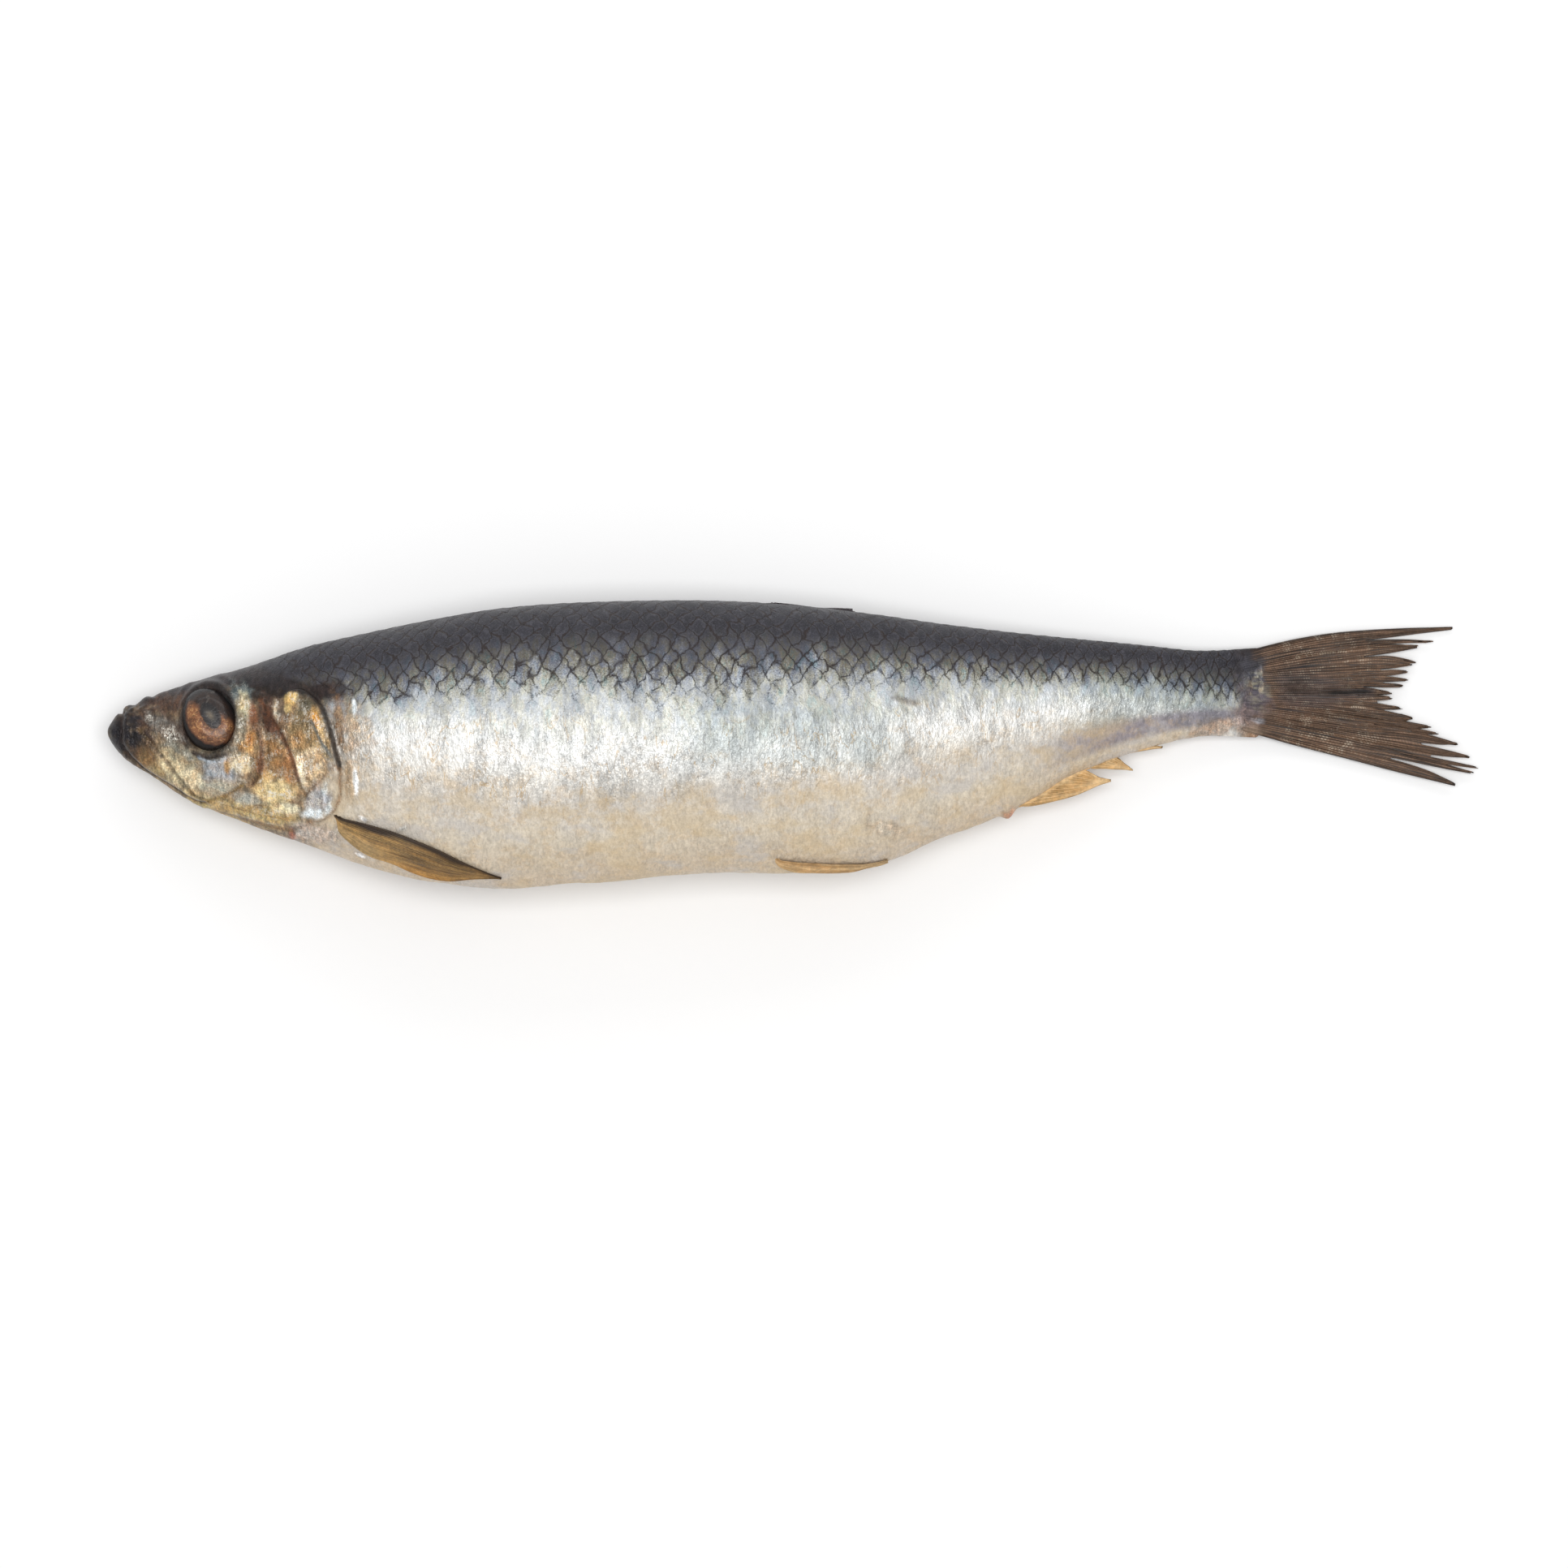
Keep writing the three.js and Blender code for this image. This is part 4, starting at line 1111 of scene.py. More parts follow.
def band_places(x, depth):
    """Moves the flank's colour bands up or down along the fish: the share of the depth where the dark back
    ends, where the flank is brightest, its silver with a painted reflection of the light above, and where
    the belly begins."""
    at = [-110, -90, -80, -50, -35, -20, 10, 25, 40, 55, 70, 85, 97, 108]
    dark = np.interp(x, at, [.3, .29, .25, .25, .28, .28, .24, .23, .24, .27, .31, .38, .5, .6])
    bright = np.interp(x, at, [.48, .46, .48, .58, .58, .62, .56, .5, .48, .5, .54, .68, .95, 1.15])
    pale = np.interp(x, at, [.64, .64, .66, .72, .71, .7, .66, .68, .66, .68, .7, .78, 1.05, 1.25])
    tone = np.where(depth < dark, 0.25 * depth / dark, 0.25 + 0.31 * (depth - dark) / (bright - dark))
    tone = np.where(depth > bright, 0.56 + 0.15 * (depth - bright) / (pale - bright), tone)
    return np.where(depth > pale, 0.71 + 0.29 * (depth - pale) / np.maximum(1 - pale, 0.01), tone)


def body_rows():
    """The stations along the body: close together at its ends and on its head."""
    quarter = np.linspace(0, math.pi / 2, 13)
    nose = NOSE_ROUNDING * (1 - np.cos(quarter))
    head = np.linspace(NOSE_ROUNDING, 60, 152)[1:]
    trunk = np.linspace(60, BODY_LENGTH - STALK_ROUNDING, 336)[1:]
    stalk = BODY_LENGTH - STALK_ROUNDING * (1 - np.sin(quarter[2::2]))
    return SNOUT + np.concatenate([nose, head, trunk, stalk])


def body_columns():
    """Places around the body, 0 and 1 on the back and a half on the belly, closer on the upper flank."""
    upper, lower = 124, 66
    return np.concatenate([np.linspace(0, 0.5, upper + 1), np.linspace(0.5, 1, lower + 1)[1:]])


def make_body():
    look = settings("skin")
    rows, columns = body_rows(), body_columns()
    piece, u, v = added_grid("herring_body", len(rows) - 1, len(columns) - 1)
    i = np.rint(u * (len(rows) - 1)).astype(int)
    j = np.rint(v * (len(columns) - 1)).astype(int)
    x, turn = rows[i], columns[j]
    side = np.where(turn <= 0.5, 1.0, -1.0)
    angle = np.where(turn <= 0.5, math.pi * (0.5 - 2 * turn), math.pi * (2 * turn - 1.5))
    bare = skin(x, angle, side)
    normal = outward(np.clip(x, SNOUT + 0.3, SNOUT + BODY_LENGTH - 0.3), angle, side)

    # arc length from the back's middle, on both flanks
    net = np.zeros((len(rows), len(columns), 3))
    net[i, j] = bare
    steps = np.linalg.norm(np.diff(net, axis=1), axis=2)
    half = len(columns) // 2
    length = np.concatenate([np.zeros((len(rows), 1)), np.cumsum(steps, axis=1)], 1)
    belly_column = int(np.argmin(np.abs(columns - 0.5)))
    from_end = length[:, -1:] - length
    arc = np.where(np.arange(len(columns)) <= belly_column, length, from_end)[i, j]

    size_along = np.interp(rows, [-110, -95, -60, -20, 40, 75, 108], [0.8, 0.85, 1.0, 1.0, 0.85, 0.7, 0.5])
    cells_along = np.concatenate([[0], np.cumsum(np.diff(rows) / (look.scale_length / MM * size_along[1:]))])
    cells_u = cells_along[i]
    cells_v = arc / (look.scale_height / MM * np.interp(x, rows, np.sqrt(size_along)))
    put_uv(piece, "Scales", cells_u, cells_v)

    y = bare[:, 1]
    depth = np.clip((back(x) - y) / np.maximum(back(x) - belly(x), 1), 0, 1)
    tone = band_places(x, depth)
    behind_head = smoothstep(-101.5, -98.5, x - 1.5 * smoothstep(6, 14, y))
    scaly = smoothstep(-101.5, -98.5, x + 16 * smoothstep(9, 18, y))
    scaly *= smoothstep(0.78, 0.6, tone) * smoothstep(105, 100, x)
    near_head = x < -90
    relief = np.zeros(len(x))
    relief[near_head] = head_relief(x[near_head], y[near_head])
    relief += look.scale_relief / MM * (scale_along(cells_u, cells_v) - 0.5) * scaly
    dents = lattice_noise(x / 13, arc / 10, 31) + 0.5 * lattice_noise(x / 5, arc / 5, 32)
    relief += 0.22 * dents * behind_head * smoothstep(0.05, 0.3, depth)
    creases = lattice_noise(x / 1.6, arc / 0.9, 33)
    relief += 0.07 * creases * behind_head * smoothstep(0.66, 0.8, tone)
    vent = np.hypot((x - VENT[0]) / 1.6, (y - VENT[1]) / 2.6)
    tail_end = SNOUT + BODY_LENGTH
    relief *= smoothstep(SNOUT, SNOUT + 1.5, x) * smoothstep(tail_end, tail_end - 1.5, x)
    bare = bare + normal * relief[:, None]
    bare[:, 1] -= 1.5 * bell(vent, 1.0)
    ragged = 1.5 * lattice_noise(x / 1.8, y / 1.4, 34) + 1.5 * lattice_noise(x / 5, y / 3, 35)
    pinch = smoothstep(96, 107.5, x + ragged * smoothstep(97, 102, x)) ** 1.3
    bare[:, 2] = lerp(bare[:, 2], spine(x) - PRESSED, 0.94 * pinch)
    bare[:, 2] = np.maximum(bare[:, 2], 0)
    put_points(piece, bare)

    painted, flecks, glossy = paint_body(x, y)
    put_colours(piece, "paint", painted)
    # flecks is where the head's painted glints may show
    put_values(piece, "flecks", flecks)
    put_values(piece, "glossy", glossy)
    put_values(piece, "flank", tone)
    put_values(piece, "scaly", scaly)
    amber = smoothstep(70, 48, x) * smoothstep(0.34, 0.48, tone) * smoothstep(0.84, 0.68, tone)
    put_values(piece, "amber", amber)
    striped = smoothstep(22, 38, x) * smoothstep(100, 88, x)
    put_values(piece, "rear", striped * smoothstep(0.3, 0.42, tone) * smoothstep(0.76, 0.62, tone))
    # painted shade over the stalk and the middle of the flank
    stalk = smoothstep(58, 74, x) * smoothstep(104, 95, x)
    stalk *= smoothstep(0.2, 0.36, depth) * smoothstep(0.75, 0.63, depth)
    middle = smoothstep(-30, -15, x) * smoothstep(32, 18, x) * smoothstep(0.32, 0.42, depth)
    middle *= smoothstep(0.66, 0.56, depth) * (0.85 + 0.3 * lattice_noise(x / 6, y / 3, 36))
    put_values(piece, "dull", np.clip(np.maximum(stalk, middle), 0, 1))
    lower = smoothstep(0.64, 0.74, depth) * smoothstep(0.93, 0.84, depth)
    put_values(piece, "lavender", 0.75 * smoothstep(50, 72, x) * lower)
    edit_all(piece, merge_close(), face_out)
    return finish_piece(piece, "body", skin_material())


# ---------------------------------------------------------------------------------------------------------
# The eyes


def make_eye(side):
    """A flattened eyeball with a sunken pupil, turned to look out of its flank."""
    name = "left_eye" if side > 0 else "right_eye"
    deselect()
    bpy.ops.mesh.primitive_uv_sphere_add(segments=96, ring_count=64, radius=1)
    piece = bpy.context.object
    piece.name = piece.data.name = "herring_" + name
    ball = points_of(piece)
    across, up, out = ball[:, 0], ball[:, 1], ball[:, 2]
    ring = np.hypot((across + 0.05) / 0.9, (up + 0.01) / 0.97)
    inner = np.hypot((across + 0.12) / 0.74, (up + 0.05) / 1.12)
    ring = lerp(inner, ring, smoothstep(0.25, 0.75, ring))
    front = out > 0
    flat = np.where(front, 0.86 * out - 0.05 * bell(ring, 0.35), out)
    flat += np.where(front, 0.05 * bell(ring - 0.62, 0.16), 0)
    flat += np.where(front, 0.015 * lattice_noise(across * 5, up * 5, 41), 0)
    low, high = np.array(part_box(name)) / MM
    middle = (low + high) / 2
    middle[:2] = EYE
    look = Vector((-0.12, 0.2, side)).normalized()
    turn = look.to_track_quat("Z", "Y").to_matrix()
    local = np.stack([across * 6.7, up * 7.9, flat * 4.1], -1)
    put_points(piece, local @ np.array(turn).T + middle)
    lean = Vector((0, 1, 0))
    upward = np.array(turn.inverted() @ lean)
    rise = (across * upward[0] + up * upward[1])
    put_values(piece, "ring", np.where(front, ring, 1.2))
    # painted shadow cast by the socket's rim over the upper part of the sunken eye
    lid = rise - 0.45 * across + 0.12 * lattice_noise(across * 3, up * 3, 42)
    put_values(piece, "lid", smoothstep(0.1, 0.5, lid))
    edit_all(piece, face_out)
    return piece


# ---------------------------------------------------------------------------------------------------------
# The fins


def fan_fin(name, root, tufts, columns_per_ray, steps, height_at, bows=(0, 0), first_side=1, taper=1.8,
            gathered=0):
    """A fin of rays in the fish's middle plane. root gives the place of a share of the fin's root line. Each
    tuft is (share of the root line where it ends, its tip, the share of its length where it tears free,
    how many rays it has, how wide its tip is). bows are how far the first and last rays bend outward, and
    first_side is 1 where the first ray is on the back's side of the last and -1 where it is on the belly's.
    A larger taper keeps the tufts wide for longer. gathered is 1 where each ray runs straight from its own
    root to the tuft's tip."""
    rays = [tuft[3] for tuft in tufts]
    count = sum(rays) * columns_per_ray
    piece, s, v = added_grid(name, steps, count)
    j = np.rint(v * count).astype(int)
    ends = np.concatenate([[0], np.cumsum(rays)]) * columns_per_ray
    owner = np.clip(np.searchsorted(ends, j, side="right") - 1, 0, len(tufts) - 1)
    last_column = np.concatenate([ends[1:-1] - 1, ends[-1:]])
    shares = np.concatenate([[0], [tuft[0] for tuft in tufts]])
    columns = np.arange(count + 1)
    roots = np.array([root(share) for share in np.interp(columns, ends, shares)])
    tips = np.array([tuft[1] for tuft in tufts], float)
    split = 0.7 * taper * lattice_noise(j * 0.9, owner * 0.7, 52) * smoothstep(0.9, 1, s)
    middles = (ends[:-1] + ends[1:]) / 2
    virtual = np.stack([np.interp(columns, middles, tips[:, k]) for k in (0, 1)], -1)
    virtual = lerp(virtual[j], tips[owner], gathered)
    inside = (j - ends[owner]) / (last_column[owner] - ends[owner])
    torn = np.array([tuft[2] for tuft in tufts])[owner]
    wide = np.array([tuft[4] for tuft in tufts])[owner]
    spread = lerp(roots[j], virtual, s[:, None])
    own_root = roots[np.rint(middles).astype(int)][owner]
    heading = tips[owner] - own_root
    heading /= np.linalg.norm(heading, axis=1, keepdims=True)
    across = np.stack([-heading[:, 1], heading[:, 0]], -1)
    centre = lerp(lerp(own_root, roots[j], gathered), tips[owner], s[:, None])
    centre += across * ((0.5 - inside) * wide * first_side)[:, None]
    pull = np.clip((s - torn) / (1 - torn), 0, 1) ** taper
    place = lerp(spread, centre, pull[:, None])
    bow = bows[0] * smoothstep(0.35, 0.0, v) - bows[1] * smoothstep(0.65, 1.0, v)
    curl = 0.7 * lattice_noise(s * 2.2 + owner * 3.1, owner * 1.7, 51) * smoothstep(0.45, 1, s)
    place += across * (bow * np.sin(math.pi * s) + curl)[:, None]
    place += heading * split[:, None]
    ridge = settings("fins").ridge / MM * np.cos(4 * math.pi * j / columns_per_ray) * lerp(1.2, 0.5, s)
    ridge *= smoothstep(0.1, 0.3, s)
    put_points(piece, np.column_stack([place, height_at(place[:, 0], place[:, 1], s, owner) + ridge]))
    put_uv(piece, "Spread", s, j / columns_per_ray)
    outermost = np.minimum(j, count - j) / columns_per_ray
    put_fin_values(piece, s, smoothstep(1.2, 0.2, outermost))
    remove_gaps(piece, j, s, ends, tufts)
    return piece


def put_fin_values(piece, s, edge, beads=0.0, paint=None):
    """The attributes that a fin's material reads at every point."""
    put_values(piece, "tip", s)
    put_values(piece, "edge", edge)
    put_values(piece, "beads", np.zeros(len(s)) + beads)
    put_colours(piece, "paint", np.zeros((len(s), 4)) if paint is None else paint)


def remove_gaps(piece, column, s, ends, tufts):
    """Deletes the strips of membrane between tufts, past the place where they tear."""
    deselect()
    mesh = piece.data
    gaps = {int(end) - 1: min(left[2], right[2]) for end, left, right in zip(ends[1:-1], tufts, tufts[1:])}
    lost = []
    for face in mesh.polygons:
        low = min(column[k] for k in face.vertices)
        if low in gaps and min(s[k] for k in face.vertices) >= gaps[low] - 1e-6:
            lost.append(face.index)
    bpy.context.tool_settings.mesh_select_mode = (False, False, True)
    mesh.vertices.foreach_set("select", np.zeros(len(mesh.vertices), bool))
    mesh.edges.foreach_set("select", np.zeros(len(mesh.edges), bool))
    mesh.polygons.foreach_set("select", np.isin(np.arange(len(mesh.polygons)), lost))
    bpy.context.view_layer.objects.active = piece
    piece.select_set(True)
    bpy.ops.object.mode_set(mode="EDIT")
    bpy.ops.mesh.delete(type="FACE")
    bpy.ops.object.mode_set(mode="OBJECT")


def thicken(piece, root_thickness, share_at):
    """Gives the fin its thickness: thick at its root, and a membrane where share_at falls to 0."""
    thick = piece.vertex_groups.new(name="Thickness")
    shares = np.round(np.clip(share_at, 0, 1), 2)
    for level in np.unique(shares):
        thick.add(np.flatnonzero(shares == level).tolist(), float(level), "REPLACE")
    edit_all(piece, face_out)
    membrane = settings("fins").thickness / MM
    apply_modifier(
        piece, "SOLIDIFY", thickness=root_thickness * MM, offset=0, vertex_group="Thickness",
        thickness_vertex_group=membrane / root_thickness, use_even_offset=False,
    )


def tips_of(piece):
    """How far from its root each of a fin's points is."""
    shares = np.empty(len(piece.data.vertices), np.float32)
    piece.data.attributes["tip"].data.foreach_get("value", shares)
    return shares


# Tail tufts from the upper lobe down: (root share, tip, tear, rays, tip width)
TAIL_TUFTS = [
    (0.12, (149.8, 25.7), 0.66, 3, 0.35),
    (0.18, (145.6, 23.2), 0.7, 1, 0.25),
    (0.24, (142.2, 21.9), 0.72, 2, 0.5),
    (0.29, (141.6, 18.2), 0.84, 2, 0.6),
    (0.34, (139.8, 16.0), 0.9, 1, 0.4),
    (0.39, (140.2, 14.4), 0.88, 1, 0.35),
    (0.44, (138.6, 13.2), 0.92, 1, 0.35),
    (0.5, (135.8, 11.9), 0.8, 2, 0.3),
    (0.55, (136.4, 10.2), 0.92, 1, 0.3),
    (0.59, (138.4, 8.4), 0.9, 1, 0.3),
    (0.64, (140.8, 6.2), 0.9, 2, 0.35),
    (0.69, (145.0, 3.9), 0.88, 2, 0.35),
    (0.73, (147.4, 2.2), 0.9, 1, 0.3),
    (0.78, (151.2, -0.4), 0.84, 2, 0.4),
    (0.83, (153.8, -3.4), 0.82, 2, 0.35),
    (0.88, (155.8, -5.0), 0.84, 1, 0.3),
    (0.93, (155.2, -6.4), 0.76, 1, 0.3),
    (1.0, (150.5, -9.1), 0.66, 3, 0.4),
]


def tail_root(share):
    """The root of the tail fin: an arc sunk into the end of the stalk, swept back at its upper edge."""
    x = SNOUT + BODY_LENGTH - 6.5
    swept = x - 2.0 * max(1 - 2 * share, 0) ** 2 + 1.5 * share ** 4
    return swept, lerp(back(x) - 1.5, belly(x) + 1.2, share)


def make_tail():
    end = SNOUT + BODY_LENGTH
    rest = settings("fins").thickness / MM

    def height(x, y, s, owner):
        lying = smoothstep(end - 4, end + 16, x)
        lifted = 1.2 + 1.0 * lattice_noise(owner * 0.9, s * 1.5, 61) * smoothstep(0.35, 1, s)
        lifted += 1.0 * bell(y - 11.5, 3.5) * bell(s - 0.55, 0.3)
        return lerp(spine(np.minimum(x, end)) - PRESSED, rest + lifted, lying)

    piece = fan_fin("herring_tail_fin", tail_root, TAIL_TUFTS, 8, 110, height, bows=(2.3, 0.2))
    place = points_of(piece) / MM
    x, y = place[:, 0], place[:, 1]
    shade = stalk_paint(x, y)
    ragged = 1.6 * lattice_noise(x / 1.6, y / 1.2, 62) + 1.8 * lattice_noise(x / 5, y / 3, 63)
    cover = smoothstep(112, 107, x + ragged + 0.35 * np.abs(y - 12))
    # painted shade along the fold where the two lobes overlap
    fold = bell(y - 12.2 + 0.06 * (x - 120), 1.8 + 0.2 * np.abs(x - 127)) * smoothstep(109, 115, x)
    fold *= smoothstep(131, 122, x) * (0.8 + 0.4 * lattice_noise(x / 4, y / 1.2, 64))
    fold = np.clip(fold, 0, 1)
    shade = lerp(shade, np.array(tint("211812")), fold[:, None])
    cover = np.maximum(cover, 0.86 * fold)
    # a nearly black painted shadow line where the lobes overlap
    shadow_line = bell(y - 11.5 - 0.05 * (x - 127), 0.8) * smoothstep(119, 124, x) * smoothstep(134, 131, x)
    shade = lerp(shade, np.array(tint("0f0a08")), shadow_line[:, None])
    cover = np.maximum(cover, 0.95 * shadow_line)
    put_colours(piece, "paint", np.column_stack([shade, cover]))
    beads = smoothstep(108, 116, x) * smoothstep(140, 128, x)
    put_values(piece, "beads", beads)
    thicken(piece, 2.2, smoothstep(0.16, 0.0, tips_of(piece)))
    return piece


# Anal tufts from its front to its rear
ANAL_TUFTS = [
    (0.56, (72.2, -8.9), 0.16, 9, 0.2),
    (0.8, (77.4, -5.9), 0.16, 5, 0.2),
    (1.0, (84.2, -1.0), 0.5, 5, 0.2),
]


def make_anal():
    def root(share):
        x = lerp(49.2, 80.0, share)
        return x, float(belly(x)) + 0.9

    piece = fan_fin(
        "herring_anal_fin", root, ANAL_TUFTS, 8, 60,
        lambda x, y, s, owner: spine(x) - PRESSED + 0.25 * lattice_noise(x / 3, y / 2, 71),
        bows=(-1.0, 0), first_side=-1, taper=1.1, gathered=1,
    )
    thicken(piece, 1.1, smoothstep(0.5, 0.0, tips_of(piece)))
    return piece


DORSAL_TUFTS = [
    (0.6, (13.4, 29.9), 0.94, 5, 0.2),
    (1.0, (18.0, 28.8), 0.94, 5, 0.2),
]


def make_dorsal():
    def root(share):
        x = lerp(-16.5, 12, share)
        return x, float(back(x)) - 0.9 + 0.8 * math.sin(math.pi * min(share * 1.3, 1))

    piece = fan_fin(
        "herring_dorsal_fin", root, DORSAL_TUFTS, 8, 60,
        lambda x, y, s, owner: spine(x) - PRESSED + 0.4 * (owner - 1) + 0.3 * lattice_noise(x / 4, y, 81),
        taper=1.1, gathered=1,
    )
    grey = np.tile((*tint("57535a"), 0.8), (len(piece.data.vertices), 1))
    put_colours(piece, "paint", grey)
    thicken(piece, 1.0, smoothstep(0.6, 0.0, tips_of(piece)))
    return piece


# Folded paired fins. root is how far behind the snout the fin starts, angles are its leading edge's at the
# root and the tip, arch is how far that edge bows towards the back between them, and dark is how dark it is.
PECTORAL = {
    "root": 51.4, "angles": (-0.72, -1.17), "arch": 0.16, "length": 38.4, "width": 11.5,
    "rays": 14, "dark": 0.95,
}
PELVIC = {
    "root": 151, "angles": (-1.12, -1.36), "arch": 0.03, "length": 26, "width": 4.2,
    "rays": 8, "dark": 0.3,
}


def make_folded_fin(name, form, side):
    """A paired fin folded flat on the flank, hung from its leading edge and gathered at root and tip."""
    per_ray = 8
    count = form["rays"] * per_ray
    piece, s, t = added_grid("herring_" + name, 110, count)
    x = SNOUT + form["root"] + form["length"] * s
    lead = lerp(*form["angles"], s) + form["arch"] * np.sin(math.pi * s)
    fan = smoothstep(-0.12, 0.28, s) * (1 - smoothstep(0.45, 1.02, s) ** 1.6)
    width = lerp(0.3, 0.06, smoothstep(0.9, 1, s)) + form["width"] * fan
    reach = np.linalg.norm(skin(x, lead - 0.2, side) - skin(x, lead - 0.24, side), axis=1) / 0.04
    angle = lead - t * width / reach
    x = x - 2.0 * t * smoothstep(0.6, 1, s) * smoothstep(1.0, 0.8, s)
    normal = outward(x, angle, np.full(len(x), float(side)))
    ridge = settings("fins").ridge / MM * np.cos(4 * math.pi * t * form["rays"]) * lerp(1.1, 0.6, s)
    lift = lerp(-1.2, 0.3, smoothstep(0, 0.08, s)) + ridge + 0.15 * lattice_noise(s * 6, t * 2, 91)
    lift += 0.5 * bell(t - 0.25, 0.4) * smoothstep(0, 0.25, s) * smoothstep(1, 0.7, s)
    lift -= 0.9 * smoothstep(0.8, 1.0, t) * smoothstep(0.6, 0.2, s)
    put_points(piece, skin(x, angle, side) + normal * lift[:, None])
    put_uv(piece, "Spread", s, t * form["rays"])
    frayed = t + 0.06 * lattice_noise(s * 7, t * 14, 92)
    edge = np.maximum(smoothstep(0.2, 0.03, frayed), 0.6 * smoothstep(0.85, 1.0, s))
    middle = 0.5 * bell(frayed - 0.62 + 0.25 * s, 0.2) * smoothstep(0.35, 0.6, s)
    warm = smoothstep(0.45, 0.95, frayed) * smoothstep(0.95, 0.6, s)
    beige = smoothstep(0.5, 0.2, s) * smoothstep(0.25, 0.5, frayed)
    shade = lerp(np.array(tint("c58d42")), np.array(tint("bfa273")), beige[:, None])
    paint = np.column_stack([shade, np.maximum(0.6 * warm, 0.6 * beige) * form["dark"]])
    put_fin_values(piece, s, np.maximum(edge, middle), paint=paint)
    thicken(piece, 0.9, smoothstep(0.1, 0.0, s))
    return piece


# ---------------------------------------------------------------------------------------------------------
# Operators


class HERRING_OT_body(bpy.types.Operator):
    """Model the head, trunk and tail stalk with their scales, gill covers and jaws"""

    bl_idname = "herring.body"
    bl_label = "Body"

    def execute(self, context):
        make_body()
        return {"FINISHED"}


class HERRING_OT_eyes(bpy.types.Operator):
    """Model both eyes"""

    bl_idname = "herring.eyes"
    bl_label = "Eyes"

    def execute(self, context):
        material = eye_material()
        for side, node in ((1, "left_eye"), (-1, "right_eye")):
            finish_piece(make_eye(side), node, material)
        return {"FINISHED"}


class HERRING_OT_dark_fins(bpy.types.Operator):
    """Model the frayed tail fin and the folded dorsal fin"""

    bl_idname = "herring.dark_fins"
    bl_label = "Tail and dorsal fins"

    def execute(self, context):
        material = fin_material("Dark fin", settings("fins").dark, tint("140e0a"), 70.0, 2.0, 0.8, 0.62)
        finish_piece(make_tail(), "tail_fin", material)
        finish_piece(make_dorsal(), "dorsal_fin", material)
        return {"FINISHED"}


class HERRING_OT_anal_fin(bpy.types.Operator):
    """Model the torn anal fin"""

    bl_idname = "herring.anal_fin"
    bl_label = "Anal fin"

    def execute(self, context):
        material = fin_material("Anal fin", settings("fins").pale, tint("cba066"), 30.0, 1.0, 0.0, 0.12)
        finish_piece(make_anal(), "anal_fin", material)
        return {"FINISHED"}


class HERRING_OT_paired_fins(bpy.types.Operator):
    """Model the pectoral and pelvic fins, folded on both flanks"""

    bl_idname = "herring.paired_fins"
    bl_label = "Pectoral and pelvic fins"

    def execute(self, context):
        look = settings("fins")
        kinds = (
            ("pectoral", PECTORAL, look.brown, tint("4a2f17"), 0.4),
            ("pelvic", PELVIC, look.pale, tint("bd8f55"), 0.16),
        )
        for kind, form, base, deep, contrast in kinds:
            material = fin_material(kind.title() + " fin", base, deep, 40.0, 2.0, form["dark"], contrast)
            for side, flank in ((1, "left"), (-1, "right")):
                node = f"{flank}_{kind}_fin"
                finish_piece(make_folded_fin(node, form, side), node, material)
        return {"FINISHED"}


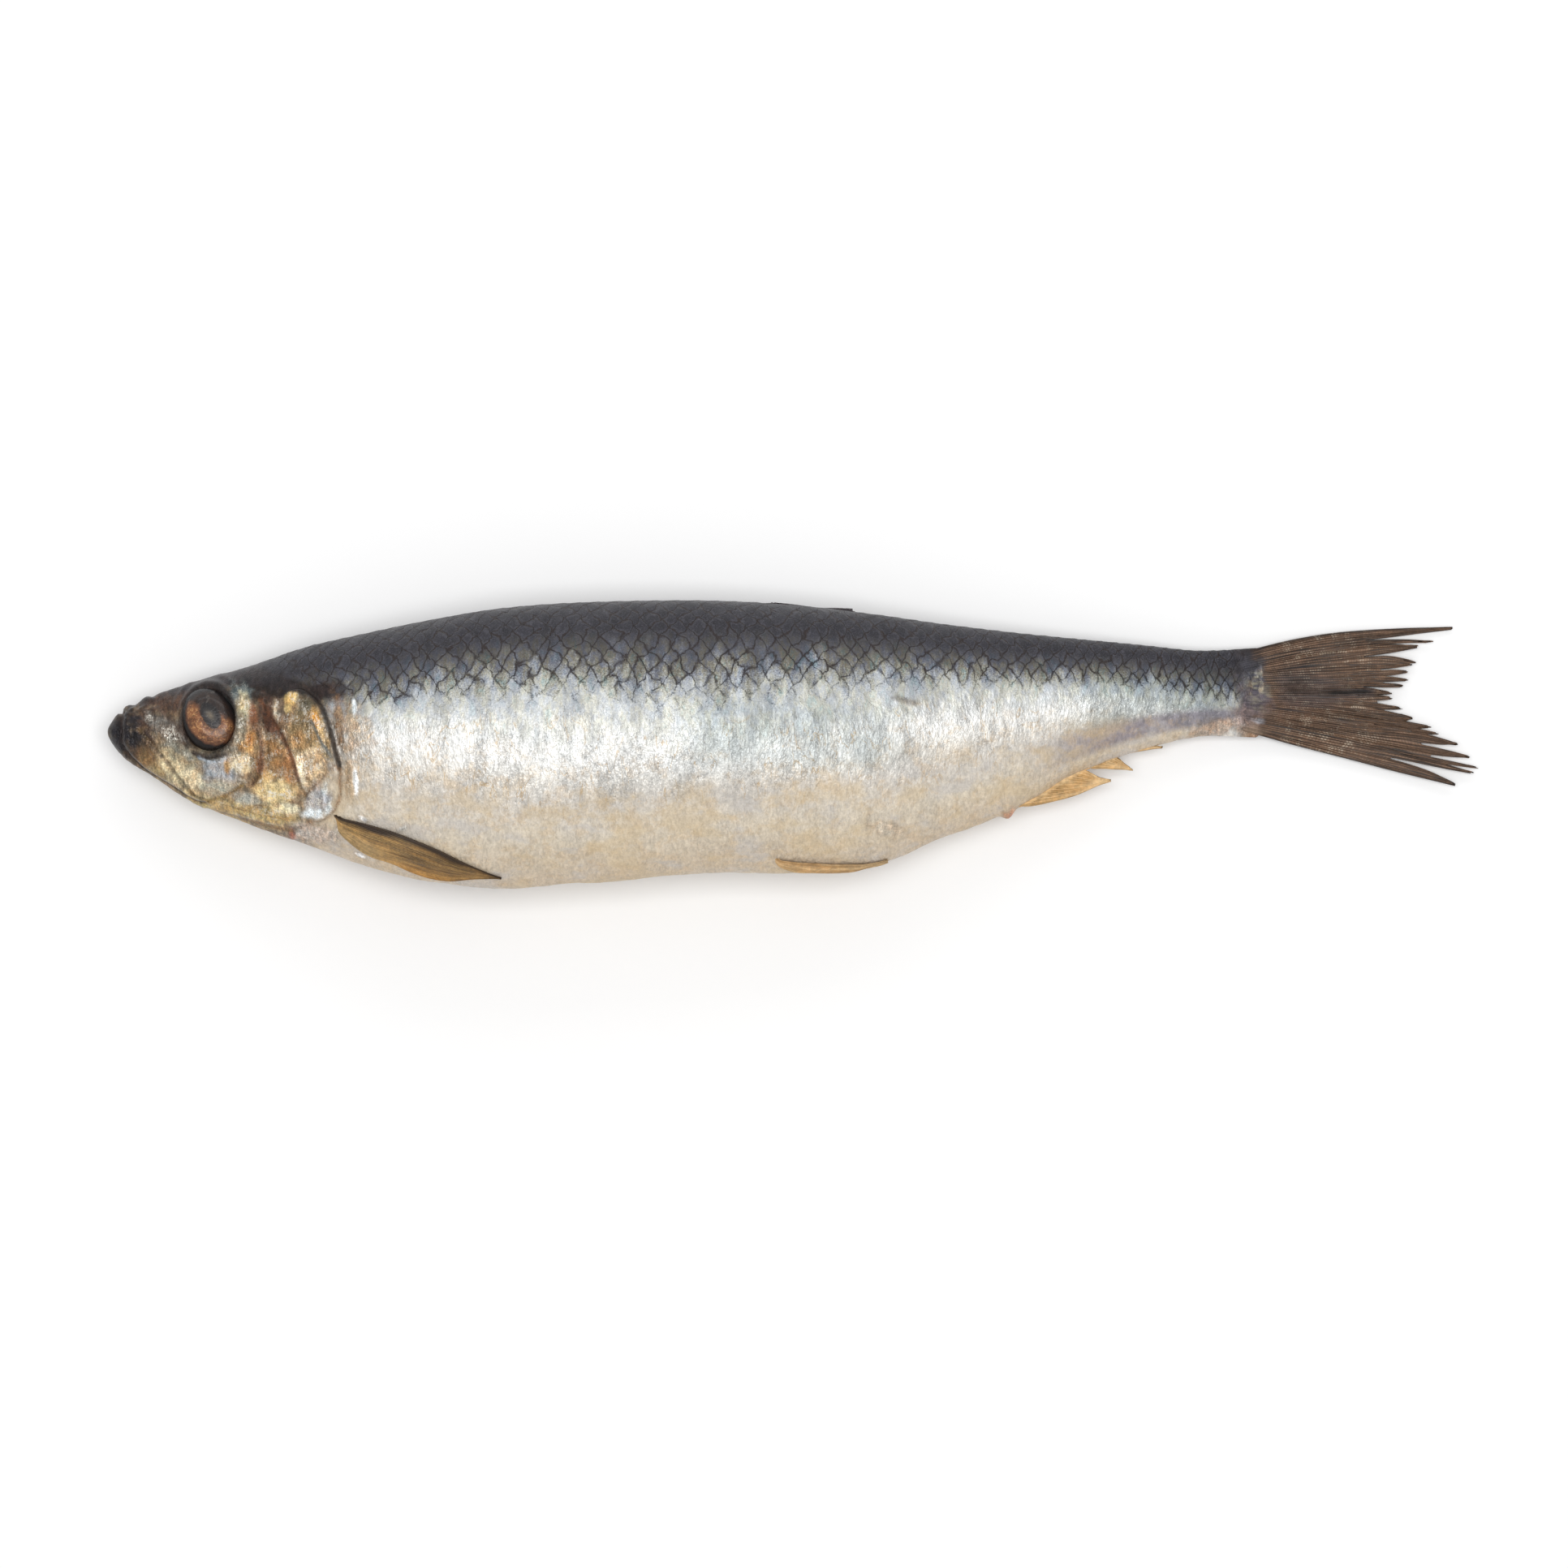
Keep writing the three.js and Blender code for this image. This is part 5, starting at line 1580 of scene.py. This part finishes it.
class HERRING_OT_stage(bpy.types.Operator):
    """Add the pale floor, the soft lights and the camera above the fish"""

    bl_idname = "herring.stage"
    bl_label = "Stage"

    def execute(self, context):
        look = settings("stage")
        deselect()
        bpy.ops.mesh.primitive_plane_add(size=6.0, location=(0, 0, 0))
        floor = bpy.context.object
        floor.name = floor.data.name = "floor"
        floor.data.materials.append(floor_material())
        world = bpy.data.worlds.new("Soft surround")
        context.scene.world = world
        world.use_nodes = True
        world.node_tree.nodes["Background"].inputs["Color"].default_value = (1, 1, 1, 1)
        world.node_tree.nodes["Background"].inputs["Strength"].default_value = look.surround
        lights = (
            ("Softbox above", (0, 0.1, 3.2), (3.0, 1.8), look.softbox_power),
            ("Softbox behind", (0, 1.6, 1.0), (2.0, 0.6), look.softbox_power * 0.08),
        )
        for name, place, size, power in lights:
            deselect()
            bpy.ops.object.light_add(type="AREA", location=place)
            light = bpy.context.object
            light.name = light.data.name = name
            light.data.shape = "RECTANGLE"
            light.data.size, light.data.size_y = size
            light.data.energy = power
            light.rotation_euler = (-Vector(place)).to_track_quat("-Z", "Y").to_euler()
        deselect()
        x, y = [(CAD_BOX[0][k] + CAD_BOX[1][k]) / 2 + CAMERA_SHIFT[k] for k in (0, 1)]
        bpy.ops.object.camera_add(location=(x, y, OUTLINE_HEIGHT + look.camera_height), rotation=(0, 0, 0))
        camera = bpy.context.object
        camera.name = camera.data.name = "Camera above"
        camera.data.sensor_width = SENSOR_WIDTH_MM
        camera.data.lens = camera.data.sensor_width * look.camera_height / FRAME_WIDTH
        camera.data.clip_start, camera.data.clip_end = 0.05, 20
        context.scene.camera = camera
        context.scene.view_settings.view_transform = "Standard"
        return {"FINISHED"}


PIECES = (
    HERRING_OT_body,
    HERRING_OT_eyes,
    HERRING_OT_dark_fins,
    HERRING_OT_anal_fin,
    HERRING_OT_paired_fins,
    HERRING_OT_stage,
)


class HERRING_PT_panel(bpy.types.Panel):
    """The herring's settings and pieces"""

    bl_idname = "HERRING_PT_panel"
    bl_label = "Salted herring"
    bl_space_type = "VIEW_3D"
    bl_region_type = "UI"
    bl_category = "Herring"

    def draw(self, context):
        for name in GROUP_CLASSES:
            box = self.layout.box()
            group_settings = settings(name)
            for key in group_settings.bl_rna.properties.keys():
                if key not in ("rna_type", "name"):
                    box.prop(group_settings, key)
        for piece in PIECES:
            self.layout.operator(piece.bl_idname)


GROUP_CLASSES = {"skin": HerringSkin, "fins": HerringFins, "eyes": HerringEyes, "stage": HerringStage}


def register():
    for cls in (*GROUP_CLASSES.values(), *PIECES, HERRING_PT_panel):
        bpy.utils.register_class(cls)
    for name, cls in GROUP_CLASSES.items():
        setattr(bpy.types.Scene, "herring_" + name, PointerProperty(type=cls))


def unregister():
    for name in GROUP_CLASSES:
        delattr(bpy.types.Scene, "herring_" + name)
    for cls in reversed((*GROUP_CLASSES.values(), *PIECES, HERRING_PT_panel)):
        bpy.utils.unregister_class(cls)


def main():
    register()
    bpy.ops.herring.stage()
    bpy.ops.herring.body()
    bpy.ops.herring.eyes()
    bpy.ops.herring.dark_fins()
    bpy.ops.herring.anal_fin()
    bpy.ops.herring.paired_fins()


if __name__ == "__main__":
    main()
